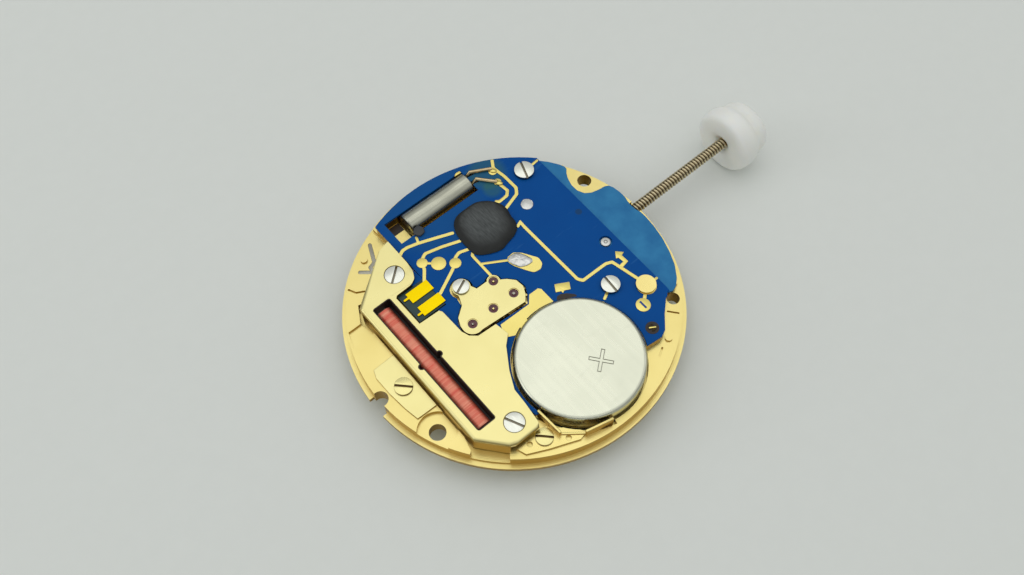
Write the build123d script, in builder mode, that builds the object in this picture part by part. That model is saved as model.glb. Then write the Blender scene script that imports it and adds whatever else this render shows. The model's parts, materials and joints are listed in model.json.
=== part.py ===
# Quartz watch movement with date, battery side up.
# Origin: the centre axis on the dial seat. +Z goes from the dial to the battery side.
# +X goes along the winding stem.
from build123d import *
from math import atan2, cos, degrees, hypot, radians, sin, sqrt
import os

os.makedirs("parts", exist_ok=True)

# Power cell
cell_r = 4.75
cell_gap = 0.15
cell_x = 0.215
cell_neck = 2.12
cell_pocket_r = cell_r + cell_gap
cell_place = (cell_x, -cell_neck - cell_pocket_r)
cell_bottom = 0.42
cell_height = 2.05
cell_floor = 0.34

# Main plate: the cell's pocket, with a wall outside it, sets its size
rim_wall = 0.48
flange_step = 0.4
body_r = cell_neck + 2 * cell_pocket_r + rim_wall
flange_r = body_r + flange_step
flange_top = 0.38
body_top = 1.3
deck_top = 1.75
shoulder_top = 1.55
deck_inset = 0.06
overrun = 0.5

# Dial side levels
ring_outer_r, ring_inner_r, ring_tip_r = 10.3, 8.5, 8.0
date_ring_gap = 0.25
date_recess_r = ring_outer_r + date_ring_gap
date_recess_top = 0.23
motion_recess_top = 0.6
train_floor = 1.0
wheel_gap = 0.12

# Circuit board
board_t = 0.2
board_top = deck_top + board_t
board_gap = 0.15
trace_t = 0.03
trace_w = 0.27

# Winding stem
stem_z = 0.95
stem_r = 0.38
thread_r = 0.45
thread_depth = 0.08
thread_pitch = 0.24
stem_gap = 0.07
stem_pull = 0.9

# Running fits and screws
running_gap = 0.03
arbor_r = 0.07
screw_slot_w = 0.16
screw_slot_depth = 0.12
shank_r = 0.32
shank_bottom = 0.7

# Places in plan, as shares of the flange radius
third_jewel_turn = 106.1
board_screw_shares = [(0.5945, 0.6055), (0.457, -0.3187)]
cover_screw_shares = [(-0.4492, 0.5336), (-0.5047, -0.6039)]
bridge_screw_shares = (-0.2047, 0.2242)
fixing_screw_shares = (-0.8203, -0.0305)
clamp_screw_shares = (-0.4219, -0.7555)
board_pin_shares = (0.4531, -0.6687)
lever_pivot_shares = (0.6359, -0.0836)
negative_post_shares = (0.6148, -0.4469)


def spot(shares):
    """A place in millimetres, from its shares of the flange radius."""
    return shares[0] * flange_r, shares[1] * flange_r


def spots(table):
    """Places in millimetres, from a table of shares."""
    return [spot(shares) for shares in table]


def polar(radius, turn):
    """The point at a radius and a direction in degrees."""
    return radius * cos(radians(turn)), radius * sin(radians(turn))


def shifted(place, radius, turn):
    """The point at a distance and a direction from another."""
    dx, dy = polar(radius, turn)
    return place[0] + dx, place[1] + dy


def column(place, radius, low, high, mode=Mode.ADD):
    """A round column in the part being built."""
    with BuildSketch(Plane.XY.offset(low)) as profile:
        with Locations(place):
            Circle(radius)
    extrude(profile.sketch, amount=high - low, mode=mode)


def columns(places, radius, low, high, mode=Mode.ADD):
    """Equal round columns."""
    with BuildSketch(Plane.XY.offset(low)) as profile:
        with Locations(*places):
            Circle(radius)
    extrude(profile.sketch, amount=high - low, mode=mode)


def tube(place, outer, inner, low, high, mode=Mode.ADD):
    """A round column with a bore."""
    with BuildSketch(Plane.XY.offset(low)) as profile:
        with Locations(place):
            Circle(outer)
            Circle(inner, mode=Mode.SUBTRACT)
    extrude(profile.sketch, amount=high - low, mode=mode)


def slab(corners, low, high, mode=Mode.ADD):
    """A flat piece over a closed outline."""
    with BuildSketch(Plane.XY.offset(low)) as profile:
        with BuildLine():
            Polyline(*corners, close=True)
        make_face()
    extrude(profile.sketch, amount=high - low, mode=mode)


def block(x_low, x_high, y_low, y_high, low, high, mode=Mode.ADD):
    """A box between its faces."""
    slab([(x_low, y_low), (x_high, y_low), (x_high, y_high), (x_low, y_high)], low, high, mode)


def strip(route, width, low, high, mode=Mode.ADD):
    """A flat strip with round ends along an open route."""
    with BuildSketch(Plane.XY.offset(low)) as profile:
        for (ax, ay), (bx, by) in zip(route, route[1:]):
            with Locations(((ax + bx) / 2, (ay + by) / 2)):
                turn = degrees(atan2(by - ay, bx - ax))
                SlotCenterToCenter(hypot(bx - ax, by - ay), width, rotation=turn)
    extrude(profile.sketch, amount=high - low, mode=mode)


def rod(radius, x_low, x_high, mode=Mode.ADD, y=0, z=stem_z):
    """A round rod along X."""
    with BuildSketch(Plane.YZ.offset(x_low)) as profile:
        with Locations((y, z)):
            Circle(radius)
    extrude(profile.sketch, amount=x_high - x_low, mode=mode)


# Gears
tip_share = 0.95
root_share = 1.25
tip_width_share = 0.12
root_width_share = 0.3


def tip_radius(teeth, module):
    """The outside radius of a wheel."""
    return module * (teeth / 2 + tip_share)


def gear(place, teeth, module, phase, low, high):
    """A toothed wheel. Phase is the direction of one tooth in degrees."""
    root = module * (teeth / 2 - root_share)
    tip = tip_radius(teeth, module)
    flanks = (
        (root, -root_width_share), (tip, -tip_width_share), (tip, tip_width_share), (root, root_width_share),
    )
    corners = []
    for tooth in range(teeth):
        for radius, turn in flanks:
            corners.append(shifted(place, radius, phase + (tooth + turn) * 360 / teeth))
    slab(corners, low, high)


def meshed(direction, driver_teeth, driver_phase, teeth):
    """The phase of a wheel that lies in a direction from its driver and meshes with it."""
    return direction + 180 + 180 / teeth - (driver_phase - direction) * driver_teeth / teeth


def spokes(place, rim, hub, arms, low, high):
    """Openings between the arms of a wheel."""
    with BuildSketch(Plane.XY.offset(low)) as profile:
        with Locations(place):
            Circle(rim)
            Circle(hub, mode=Mode.SUBTRACT)
            with PolarLocations(0, arms):
                Rectangle(2 * rim, arm_w, mode=Mode.SUBTRACT)
    extrude(profile.sketch, amount=high - low, mode=Mode.SUBTRACT)


def screw(place, head_r, head_low, head_high, slot_turn, bottom=shank_bottom, neck_r=shank_r):
    """A screw: a slotted round head on a plain shank."""
    column(place, head_r, head_low, head_high)
    column(place, neck_r, bottom, head_low)
    with BuildSketch(Plane.XY.offset(head_high - screw_slot_depth)) as profile:
        with Locations(place):
            Rectangle(2 * head_r, screw_slot_w, rotation=slot_turn)
    extrude(profile.sketch, amount=2 * screw_slot_depth, mode=Mode.SUBTRACT)


def save(sub_part, label):
    """Label a sub-part and write it."""
    sub_part.part.label = label
    export_step(sub_part.part, f"parts/{label}.step")


centre = (0, 0)
board_screws_at = spots(board_screw_shares)
cover_screws_at = spots(cover_screw_shares)
bridge_screw_at = spot(bridge_screw_shares)
fixing_screw_at = spot(fixing_screw_shares)
clamp_screw_at = spot(clamp_screw_shares)
board_pin_at = spot(board_pin_shares)
lever_pivot = spot(lever_pivot_shares)
negative_post = spot(negative_post_shares)
board_cell_r = cell_pocket_r + running_gap
arm_w = 0.16
spoke_share = 0.75
train_hub_r, train_arms = 0.48, 5
centre_hub_r, centre_arms = 0.64, 4
hub_r = 0.14
centre_fit = 0.02
driving_hub_r = 0.4
cannon_top = 1.24

# Train: tooth counts, modules and places
rotor_teeth, intermediate_teeth, intermediate_leaves = 8, 48, 8
seconds_teeth, seconds_leaves = 40, 8
third_teeth, third_leaves, centre_teeth = 60, 8, 64
seconds_module = 0.0804
centre_module = 0.05
intermediate_x = -seconds_module * (seconds_teeth + intermediate_leaves) / 2
intermediate_at = (intermediate_x, 0)
rotor_at = (2 * intermediate_x, 0)
rotor_module = -2 * intermediate_x / (rotor_teeth + intermediate_teeth)
third_distance = centre_module * (centre_teeth + third_leaves) / 2
third_module = 2 * third_distance / (third_teeth + seconds_leaves)
third_at = polar(third_distance, third_jewel_turn)

# Motion works and date drive: tooth counts, modules and places
cannon_leaves, minute_teeth, minute_leaves, hour_teeth = 12, 36, 10, 40
setting_teeth, transfer_teeth, transfer_leaves, driving_teeth = 20, 32, 20, 50
minute_module = 0.0958
date_module = 0.07
minute_turn = 20
date_drive_turn = 135
minute_distance = minute_module * (cannon_leaves + minute_teeth) / 2
minute_at = polar(minute_distance, minute_turn)
hour_module = 2 * minute_distance / (hour_teeth + minute_leaves)
setting_distance = minute_module * (minute_teeth + setting_teeth) / 2
setting_at = (minute_at[0] + sqrt(setting_distance ** 2 - minute_at[1] ** 2), 0)
transfer_distance = hour_module * (hour_teeth + transfer_teeth) / 2
transfer_at = polar(transfer_distance, date_drive_turn)
driving_distance = transfer_distance + date_module * (transfer_leaves + driving_teeth) / 2
driving_at = polar(driving_distance, date_drive_turn)

# Levels of the wheels
centre_wheel_low, centre_wheel_high = 1.1, 1.22
third_leaves_low, third_wheel_low, third_wheel_high = 1.08, 1.28, 1.38
seconds_leaves_low, seconds_leaves_high = 1.27, 1.42
seconds_wheel_low, seconds_wheel_high = 1.62, 1.72
intermediate_wheel_low, intermediate_wheel_high, intermediate_leaves_high = 1.44, 1.54, 1.76
magnet_low, magnet_high = 0.95, 1.3
rotor_leaves_low, rotor_leaves_high = 1.4, 1.58
hour_wheel_low, hour_wheel_high = 0.25, 0.34
minute_wheel_low, minute_wheel_high = 0.42, 0.52
cannon_leaves_low, cannon_leaves_high = 0.4, 0.55
transfer_leaves_high = 0.5
driving_wheel_low, driving_wheel_high = 0.38, 0.48
cannon_r, cannon_bore = 0.35, 0.15
hour_pipe_r, hour_pipe_bore = 0.6, 0.4
second_hand_r = 0.1
cannon_bottom, hour_bottom, seconds_bottom = -1.3, -0.9, -1.6
magnet_r = 0.72
stud_r = 0.16
stud_bottom = 0.14

# Train bridge and jewels
bridge_low, bridge_top = 1.85, 2.15
jewel_r, jewel_sink_r, jewel_t = 0.36, 0.42, 0.2
jewel_sink = 0.05
pivot_top = bridge_top - jewel_sink
plate_jewel_r = 0.3
web_jewel_low = 0.72
pivot_bottom = 0.74
bridge_shares = [
    (-0.3664, 0.0273), (-0.3555, -0.0312), (-0.3211, -0.0609), (0.0148, -0.0867),
    (0.0484, -0.0484), (0.0727, 0.0), (0.0664, 0.0547), (0.0312, 0.0953), (-0.0078, 0.1195),
    (-0.0695, 0.1594), (-0.1414, 0.1602), (-0.1602, 0.2031), (-0.25, 0.1953), (-0.2555, 0.1766),
    (-0.2766, 0.1297), (-0.3414, 0.082),
]
bridge_pin_shares = (-0.2422, 0.125)
bridge_pin_r = 0.2
third_lobe_r = 0.5
screw_lobe_r = 0.72
bridge_pillar_r = 0.5
bridge_head_r, bridge_head_h, bridge_slot_turn = 0.62, 0.18, 25

# Circuit board outline, with the crystal slot and the right edge
board_margin = 0.34
board_r = body_r - board_margin
board_left_shares = [
    (-0.3344, 0.8797), (-0.3344, 0.1914), (-0.2812, 0.1797), (-0.2266, -0.0937),
    (-0.2266, -0.1797), (-0.2695, -0.25), (-0.3438, -0.3672), (-0.3906, -0.4688),
    (-0.3984, -0.5703), (-0.3828, -0.6406),
]
board_right_shares = [
    (0.4555, -0.7422), (0.5, -0.7242), (0.5672, -0.6508), (0.6477, -0.5789), (0.6961, -0.5672),
    (0.7195, 0.6328),
]
crystal_slot_shares = [(-0.2836, 0.6852), (0.2992, 0.6852), (0.2992, 0.8578), (-0.2836, 0.8578)]
lead_slot_shares = [
    [(0.2891, 0.8125), (0.3516, 0.8047)],
    [(0.2891, 0.7516), (0.3516, 0.7422)],
]
lead_slot_w = 0.34

# Crystal
crystal_shares = (0.0586, 0.7891)
crystal_r = 0.95
crystal_length = 6.0
crystal_z = 1.3
crystal_pocket_gap = 0.2
crystal_round = 0.25
crystal_bead_r, crystal_bead_t = 0.75, 0.05
lead_r = 0.1
lead_spacing = 0.8
lead_exit_z = 1.5
lead_bend_shares = [(0.3359, 0.8141), (0.3359, 0.75)]

# Coil, core, stator and cover
coil_shares = (-0.6328, -0.0488)
coil_length = 11.55
coil_half = 0.62
coil_round = 0.2
core_half_w = 0.35
core_low, core_high = 1.25, 1.45
core_end_shares = [(-0.6328, -0.6016), (-0.6328, 0.5391)]
lug_r = 0.85
stator_low = 0.95
stator_hole_r = 0.82
stator_ring_r = 1.3
stator_gap = 0.08
stator_arm_w = 0.9
stator_upper_shares = [(-0.4492, 0.5336), (-0.3984, 0.4219), (-0.3984, 0.1875), (-0.3398, 0.0703)]
stator_lower_shares = [
    (-0.5047, -0.6039), (-0.4375, -0.4688), (-0.4297, -0.1875), (-0.3516, -0.0547),
]
coil_bay_floor = 0.6
coil_bay_shares = [
    (-0.7461, -0.4688), (-0.7687, -0.5547), (-0.9688, -0.6953), (-0.75, -0.8828),
    (-0.6219, -0.7031), (-0.543, -0.6328), (-0.543, 0.5078), (-0.7109, 0.5469), (-0.7687, 0.4453),
    (-0.7461, 0.3438),
]
cover_low, cover_top = 2.1, 2.3
cover_wall = 0.2
cover_wall_bottom = 0.7
cover_boss_r = 0.9
cover_head_low = 2.12
cover_head_r = 0.74
cover_slot_turns = (40, -65)
head_gap = 0.03
cover_cell_gap = 0.32
cover_shares = [
    (-0.3422, 0.7305), (-0.3461, 0.7383), (-0.4219, 0.7156), (-0.7117, 0.5062), (-0.7312, 0.4906),
    (-0.7383, 0.4609), (-0.7383, -0.5352), (-0.7312, -0.5508), (-0.6078, -0.6937),
    (-0.5805, -0.707), (-0.4211, -0.7109), (-0.4047, -0.6852), (-0.3891, -0.5578),
    (-0.3828, -0.4625), (-0.332, -0.3586), (-0.2492, -0.232), (-0.1914, -0.1797),
    (-0.2062, -0.0898), (-0.3281, -0.082), (-0.3656, -0.0484), (-0.382, -0.0016),
    (-0.3852, 0.1648), (-0.3969, 0.1844), (-0.5312, 0.1898), (-0.5328, 0.4023), (-0.5211, 0.4141),
    (-0.4141, 0.4172), (-0.375, 0.4375), (-0.3516, 0.4844), (-0.3438, 0.55),
]
cover_wall_shares = [(-0.7383, 0.4609), (-0.7383, -0.5352), (-0.6078, -0.6937)]
window_shares = [(-0.6836, -0.5211), (-0.5617, -0.5211), (-0.5617, 0.4312), (-0.6836, 0.4312)]
window_bump_shares = [(-0.6836, -0.0273), (-0.5617, -0.0273)]
window_bump_r = 0.25

# Coil terminal
terminal_shares = [(-0.5187, 0.2062), (-0.3359, 0.2062), (-0.3359, 0.418), (-0.5187, 0.418)]
tab_t = 0.1
tab_shares = [
    [(-0.4758, 0.3242), (-0.3242, 0.3242), (-0.3242, 0.3984), (-0.4758, 0.3984)],
    [(-0.4742, 0.218), (-0.3219, 0.218), (-0.3219, 0.2875), (-0.4742, 0.2875)],
]
finger_shares = [
    [(-0.5016, 0.3687), (-0.4609, 0.3687)],
    [(-0.4969, 0.2453), (-0.4609, 0.2453)],
]
finger_w = 0.18

# Keyless works
clutch_low_x, clutch_high_x = 5.85, 7.2
clutch_r = 0.55
clutch_groove_x, clutch_groove_w, clutch_groove_r = 6.34, 0.36, 0.36
clutch_tooth_count = 12
clutch_tooth_depth, clutch_tooth_w, clutch_tooth_length = 0.2, 0.14, 0.3
square_half = 0.25
square_low_x, square_high_x = 5.6, 7.4
pilot_low_x = 3.7
pilot_r = 0.2
lever_groove_x, lever_groove_w, lever_groove_r = 7.55, 0.28, 0.25
thread_low_x, thread_high_x = 11.0, 23.0
bay_low_x, bay_high_x, bay_half_w = 5.65, 7.45, 0.7
keyless_floor = 1.38
lever_low, lever_high = 1.4, 1.53
pin_bottom = 1.24
lever_pin_r = 0.1
release_head_r, release_pin_r = 0.38, 0.25
release_bottom, release_head_low, release_top = 1.1, 1.72, 1.92
release_hole_r = 0.5
release_travel = 0.15
stop_low, stop_high, stop_floor = 1.6, 1.7, 1.58
keyless_shares = [
    (0.543, -0.2578), (0.8516, -0.2578), (0.8984, -0.0937), (0.8984, 0.0781), (0.8516, 0.1875),
    (0.543, 0.2031), (0.4922, 0.125), (0.4922, -0.0234), (0.543, -0.0703),
]
ledge_shares = [(0.5352, -0.2891), (0.7266, -0.2891), (0.7266, 0.2344), (0.5352, 0.2344)]
keyless_cover_shares = [
    (0.7187, 0.5), (0.8234, 0.5062), (0.8031, 0.4672), (0.7547, 0.4125), (0.7453, 0.3492),
    (0.7672, 0.2703), (0.8297, 0.2297), (0.9164, 0.2211), (0.9312, 0.1977), (0.9453, 0.1023),
    (0.9437, 0.0), (0.9414, -0.1195), (0.8984, -0.3016), (0.8578, -0.3969), (0.775, -0.5469),
    (0.6984, -0.5625), (0.7047, -0.2812), (0.543, -0.2812), (0.543, 0.2266), (0.7148, 0.2266),
]
setting_lever_shares = [
    (0.5898, 0.0078), (0.6117, 0.0094), (0.6719, -0.0469), (0.7305, -0.0586), (0.7422, -0.0977),
    (0.6797, -0.1367), (0.625, -0.1367), (0.582, -0.1055), (0.5781, -0.0703),
]
jumper_shares = [(0.8047, -0.2227), (0.75, -0.2305), (0.6953, -0.2148), (0.6523, -0.1758)]
jumper_w = 0.16
lever_tip_r = 0.16
yoke_pivot_shares = (0.5859, 0.1562)
yoke_pivot_r = 0.14
yoke_shares = [(0.5859, 0.1562), (0.5352, 0.1172), (0.5094, 0.0469), (0.5094, -0.0078)]
yoke_w = 0.16
yoke_hub_r = 0.34
stop_pivot_shares = (0.4062, -0.125)
stop_shares = [(0.5, -0.1367), (0.4062, -0.125), (0.25, -0.1523), (0.0703, -0.1391)]
stop_w = 0.2
stop_hub_r = 0.34
stop_pivot_r = 0.14
stop_pocket_w = 0.75

# Board screws and pin
board_head_radii = (0.78, 0.72)
board_slot_turns = (70, 85)
board_head_h = 0.3
pin_head_r, pin_neck_r, pin_head_h, pin_slot_turn = 0.28, 0.2, 0.08, 20
keyless_head_r = 0.3

# Crown
knob_front_x, knob_step_x, knob_end_x = 21.6, 23.4, 24.95
knob_r, knob_neck_r = 2.7, 2.05
knob_round = 0.45
knob_edge_round = 0.3

# Date ring and its cover
ring_low, ring_high = 0.13, 0.2
ring_teeth = 31
ring_root_share, ring_point_share = 0.3, 0.14
date_finger_r = 2.3
date_finger_w = 0.3
cover_plate_low, cover_plate_high = 0.05, 0.11
cover_plate_r, cover_plate_hole_r = 8.45, 1.15
date_boss_r, date_screw_r, date_shank_r = 0.5, 0.42, 0.2
date_screw_top = 0.55
date_boss_distance = 6.8
date_boss_turns = (60, 180, 220, 320)
date_jumper_w = 0.14
date_jumper_shares = [(-0.125, -0.5156), (0.0156, -0.5273), (0.1484, -0.5742)]
date_beak_turn = -75.5
date_jumper_foot_r = 0.35

# Battery contacts and clamp
cell_cap_r, cell_cap_h, cell_bevel, cell_shoulder = 4.1, 0.2, 0.12, 0.18
insulator_t = 0.04
negative_leaf_w = 1.2
negative_post_r = 0.4
negative_dome_r = 0.75
negative_dome_h = 0.17
leaf_floor = 0.8
leaf_t = 0.12
leaf_top = 2.2
leaf_clearance = 0.1
leaf_sweep_turns = (190, 258)
leaf_turns = (193, 255)
clamp_low, clamp_top = 1.3, 1.5
clamp_head_r = 0.65
gold_head_r = 0.68
gold_head_h = 0.16
gold_slot_turn = -46
clamp_shares = [
    (-0.5797, -0.707), (-0.5594, -0.7656), (-0.4492, -0.8203), (-0.2812, -0.8906),
    (-0.2266, -0.8789), (-0.2812, -0.7969), (-0.3516, -0.75), (-0.3711, -0.7109),
]
clamp_hole_shares = [(-0.5094, -0.7344), (-0.325, -0.8414)]
clamp_hole_r = 0.2
fixing_shares = [
    (-0.8875, 0.1578), (-0.9055, 0.1086), (-0.9039, -0.0164), (-0.8914, -0.1422),
    (-0.8758, -0.2289), (-0.7477, -0.2328), (-0.7477, 0.1625),
]
fixing_t = 0.15

# Rim details
foot_shares = [(-0.8359, -0.3492), (0.8523, 0.3406), (0.6945, -0.5961)]
foot_radii = (0.62, 0.55, 0.49)
foot_recess_r = 1.45
foot_recess_floor = 1.0
notch_r = 0.6
notch_shares = (-0.9609, 0.0)
notch_half_w = 0.8
rim_post_shares = [(-0.5078, 0.7656), (0.4984, -0.7609)]
rim_post_r = 0.27
rim_post_top = 1.45
rim_pocket_floor = 1.0
ground_shares = [
    [(-0.5734, 0.7156), (-0.5172, 0.668)],
    [(-0.5172, 0.6461), (-0.5078, 0.7031)],
    [(-0.5078, 0.7031), (-0.4609, 0.7187)],
    [(-0.4648, 0.7266), (-0.4195, 0.8281)],
]
ground_w = 0.3
ground_low, ground_top = 1.1, 1.3
arc_slot_shares = [(-0.693, 0.6641), (-0.6719, 0.6211), (-0.6289, 0.5969)]
arc_slot_w = 0.16
rim_gap_shares = [
    (-0.3711, 0.918), (-0.3398, 0.9219), (-0.3359, 0.7852), (-0.3672, 0.7734), (-0.4062, 0.7891),
]
step_shares = [
    (-0.8555, 0.4422), (-0.7687, 0.4422), (-0.75, 0.4062), (-0.75, 0.3438), (-0.8906, 0.3438),
]
rim_slot_shares = [
    [(0.6133, -0.6359), (0.6523, -0.6844)],
    [(0.3828, -0.8086), (0.4297, -0.7812)],
]
rim_slot_w = 0.14
surface_cut = 0.2

# Traces, pads and solder
trace_shares = [
    [(-0.3344, 0.6352), (-0.2984, 0.6508), (-0.2039, 0.6266), (-0.0156, 0.5453)],
    [(-0.2039, 0.6266), (-0.1953, 0.6641)],
    [(-0.3242, 0.4141), (-0.2742, 0.5086), (-0.2375, 0.5398), (-0.0172, 0.4867)],
    [(-0.3125, 0.2953), (-0.1266, 0.3883), (-0.1062, 0.4203), (-0.0187, 0.4195)],
    [(-0.0187, 0.3562), (-0.0187, 0.182)],
    [(-0.0148, 0.2766), (0.1141, 0.2008), (0.1609, 0.1727)],
    [(0.3352, 0.3531), (0.332, -0.1547), (0.3625, -0.1906), (0.5453, -0.1922), (0.6039, -0.3953),
     (0.6148, -0.4469), (0.6875, -0.4477)],
    [(0.6148, -0.4469), (0.5141, -0.5266)],
    [(0.3398, 0.4906), (0.4695, 0.5406), (0.4625, 0.7453), (0.5031, 0.8156)],
    [(0.3398, 0.5422), (0.4273, 0.5727), (0.4289, 0.675)],
    [(0.3711, -0.3617), (0.407, -0.3422)],
]
pad_shares = [
    (-0.2742, 0.5086), (-0.1266, 0.3883), (0.332, -0.1547), (0.5141, -0.5266), (-0.2047, 0.4445),
]
pad_radii = (0.4, 0.45, 0.4, 0.53, 0.6)
contact_shares = [
    (-0.2148, -0.1797), (-0.1828, -0.1016), (0.0234, -0.1062), (0.0641, -0.0609),
    (0.1281, -0.0617), (0.1414, -0.0781), (0.1414, -0.2031), (0.0156, -0.2344), (-0.1211, -0.2266),
]
solder_shares = [(0.1609, 0.1727), (0.2148, 0.0805)]
solder_w = 1.1
solder_t = 0.16
crystal_pad_shares = [(0.4492, 0.7477), (0.4156, 0.6531)]
crystal_pad_r = 0.3
crystal_pad_t = 0.14
chip_centre_shares = (0.1562, 0.4437)
chip_r, chip_h = 2.32, 0.42
chip_edge_h = 0.2
grey_disc_shares = (0.4531, 0.4133)
grey_disc_r = 0.48
tongue_shares = [(-0.0781, -0.1562), (-0.0781, -0.1953)]
tongue_w = 0.8

board_left = spots(board_left_shares)
board_right = spots(board_right_shares)
board_middle_turn = 80


def board_outline(inset, low, high, mode=Mode.ADD):
    """The board's outer shape: straight left and right edges and a round top, drawn in by an inset."""
    with BuildSketch(Plane.XY.offset(low)) as profile:
        with BuildLine():
            Polyline(*board_left, *board_right)
            ThreePointArc(board_right[-1], polar(board_r, board_middle_turn), board_left[0])
        make_face()
        if inset:
            offset(amount=-inset)
    extrude(profile.sketch, amount=high - low, mode=mode)


bridge_outline = spots(bridge_shares)
jewels_at = [centre, third_at, intermediate_at, rotor_at]
yoke_pivot = spot(yoke_pivot_shares)
stop_pivot = spot(stop_pivot_shares)
stator_upper = spots(stator_upper_shares)
stator_lower = spots(stator_lower_shares)
date_bosses = [polar(date_boss_distance, turn) for turn in date_boss_turns]
release_bore_r = release_pin_r + running_gap
keyless_screw = spots(jumper_shares)[0]
crystal_slot = spots(crystal_slot_shares)
core_low_end, core_high_end = spots(core_end_shares)
coil_x, coil_y = spot(coil_shares)
crystal_x, crystal_y = spot(crystal_shares)
crystal_left, crystal_right = crystal_x - crystal_length / 2, crystal_x + crystal_length / 2
all_shanks = board_screws_at + cover_screws_at + [bridge_screw_at, fixing_screw_at, clamp_screw_at]


def bridge_shape(margin, low, high, mode=Mode.ADD):
    """The train bridge's shape, with a margin all round."""
    with BuildSketch(Plane.XY.offset(low)) as profile:
        with BuildLine():
            Polyline(*bridge_outline, close=True)
        make_face()
        with Locations(rotor_at):
            Circle(lug_r)
        with Locations(third_at):
            Circle(third_lobe_r)
        with Locations(bridge_screw_at):
            Circle(screw_lobe_r)
        if margin:
            offset(amount=margin)
    extrude(profile.sketch, amount=high - low, mode=mode)


def core_lugs(margin, low, high, mode=Mode.ADD):
    """The two arms at the ends of the core, from the coil's axis to the cover screws."""
    for end, place in zip((core_high_end, core_low_end), cover_screws_at):
        strip([end, place], 2 * (core_half_w + margin), low, high, mode)
        column(place, lug_r + margin, low, high, mode)


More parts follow.
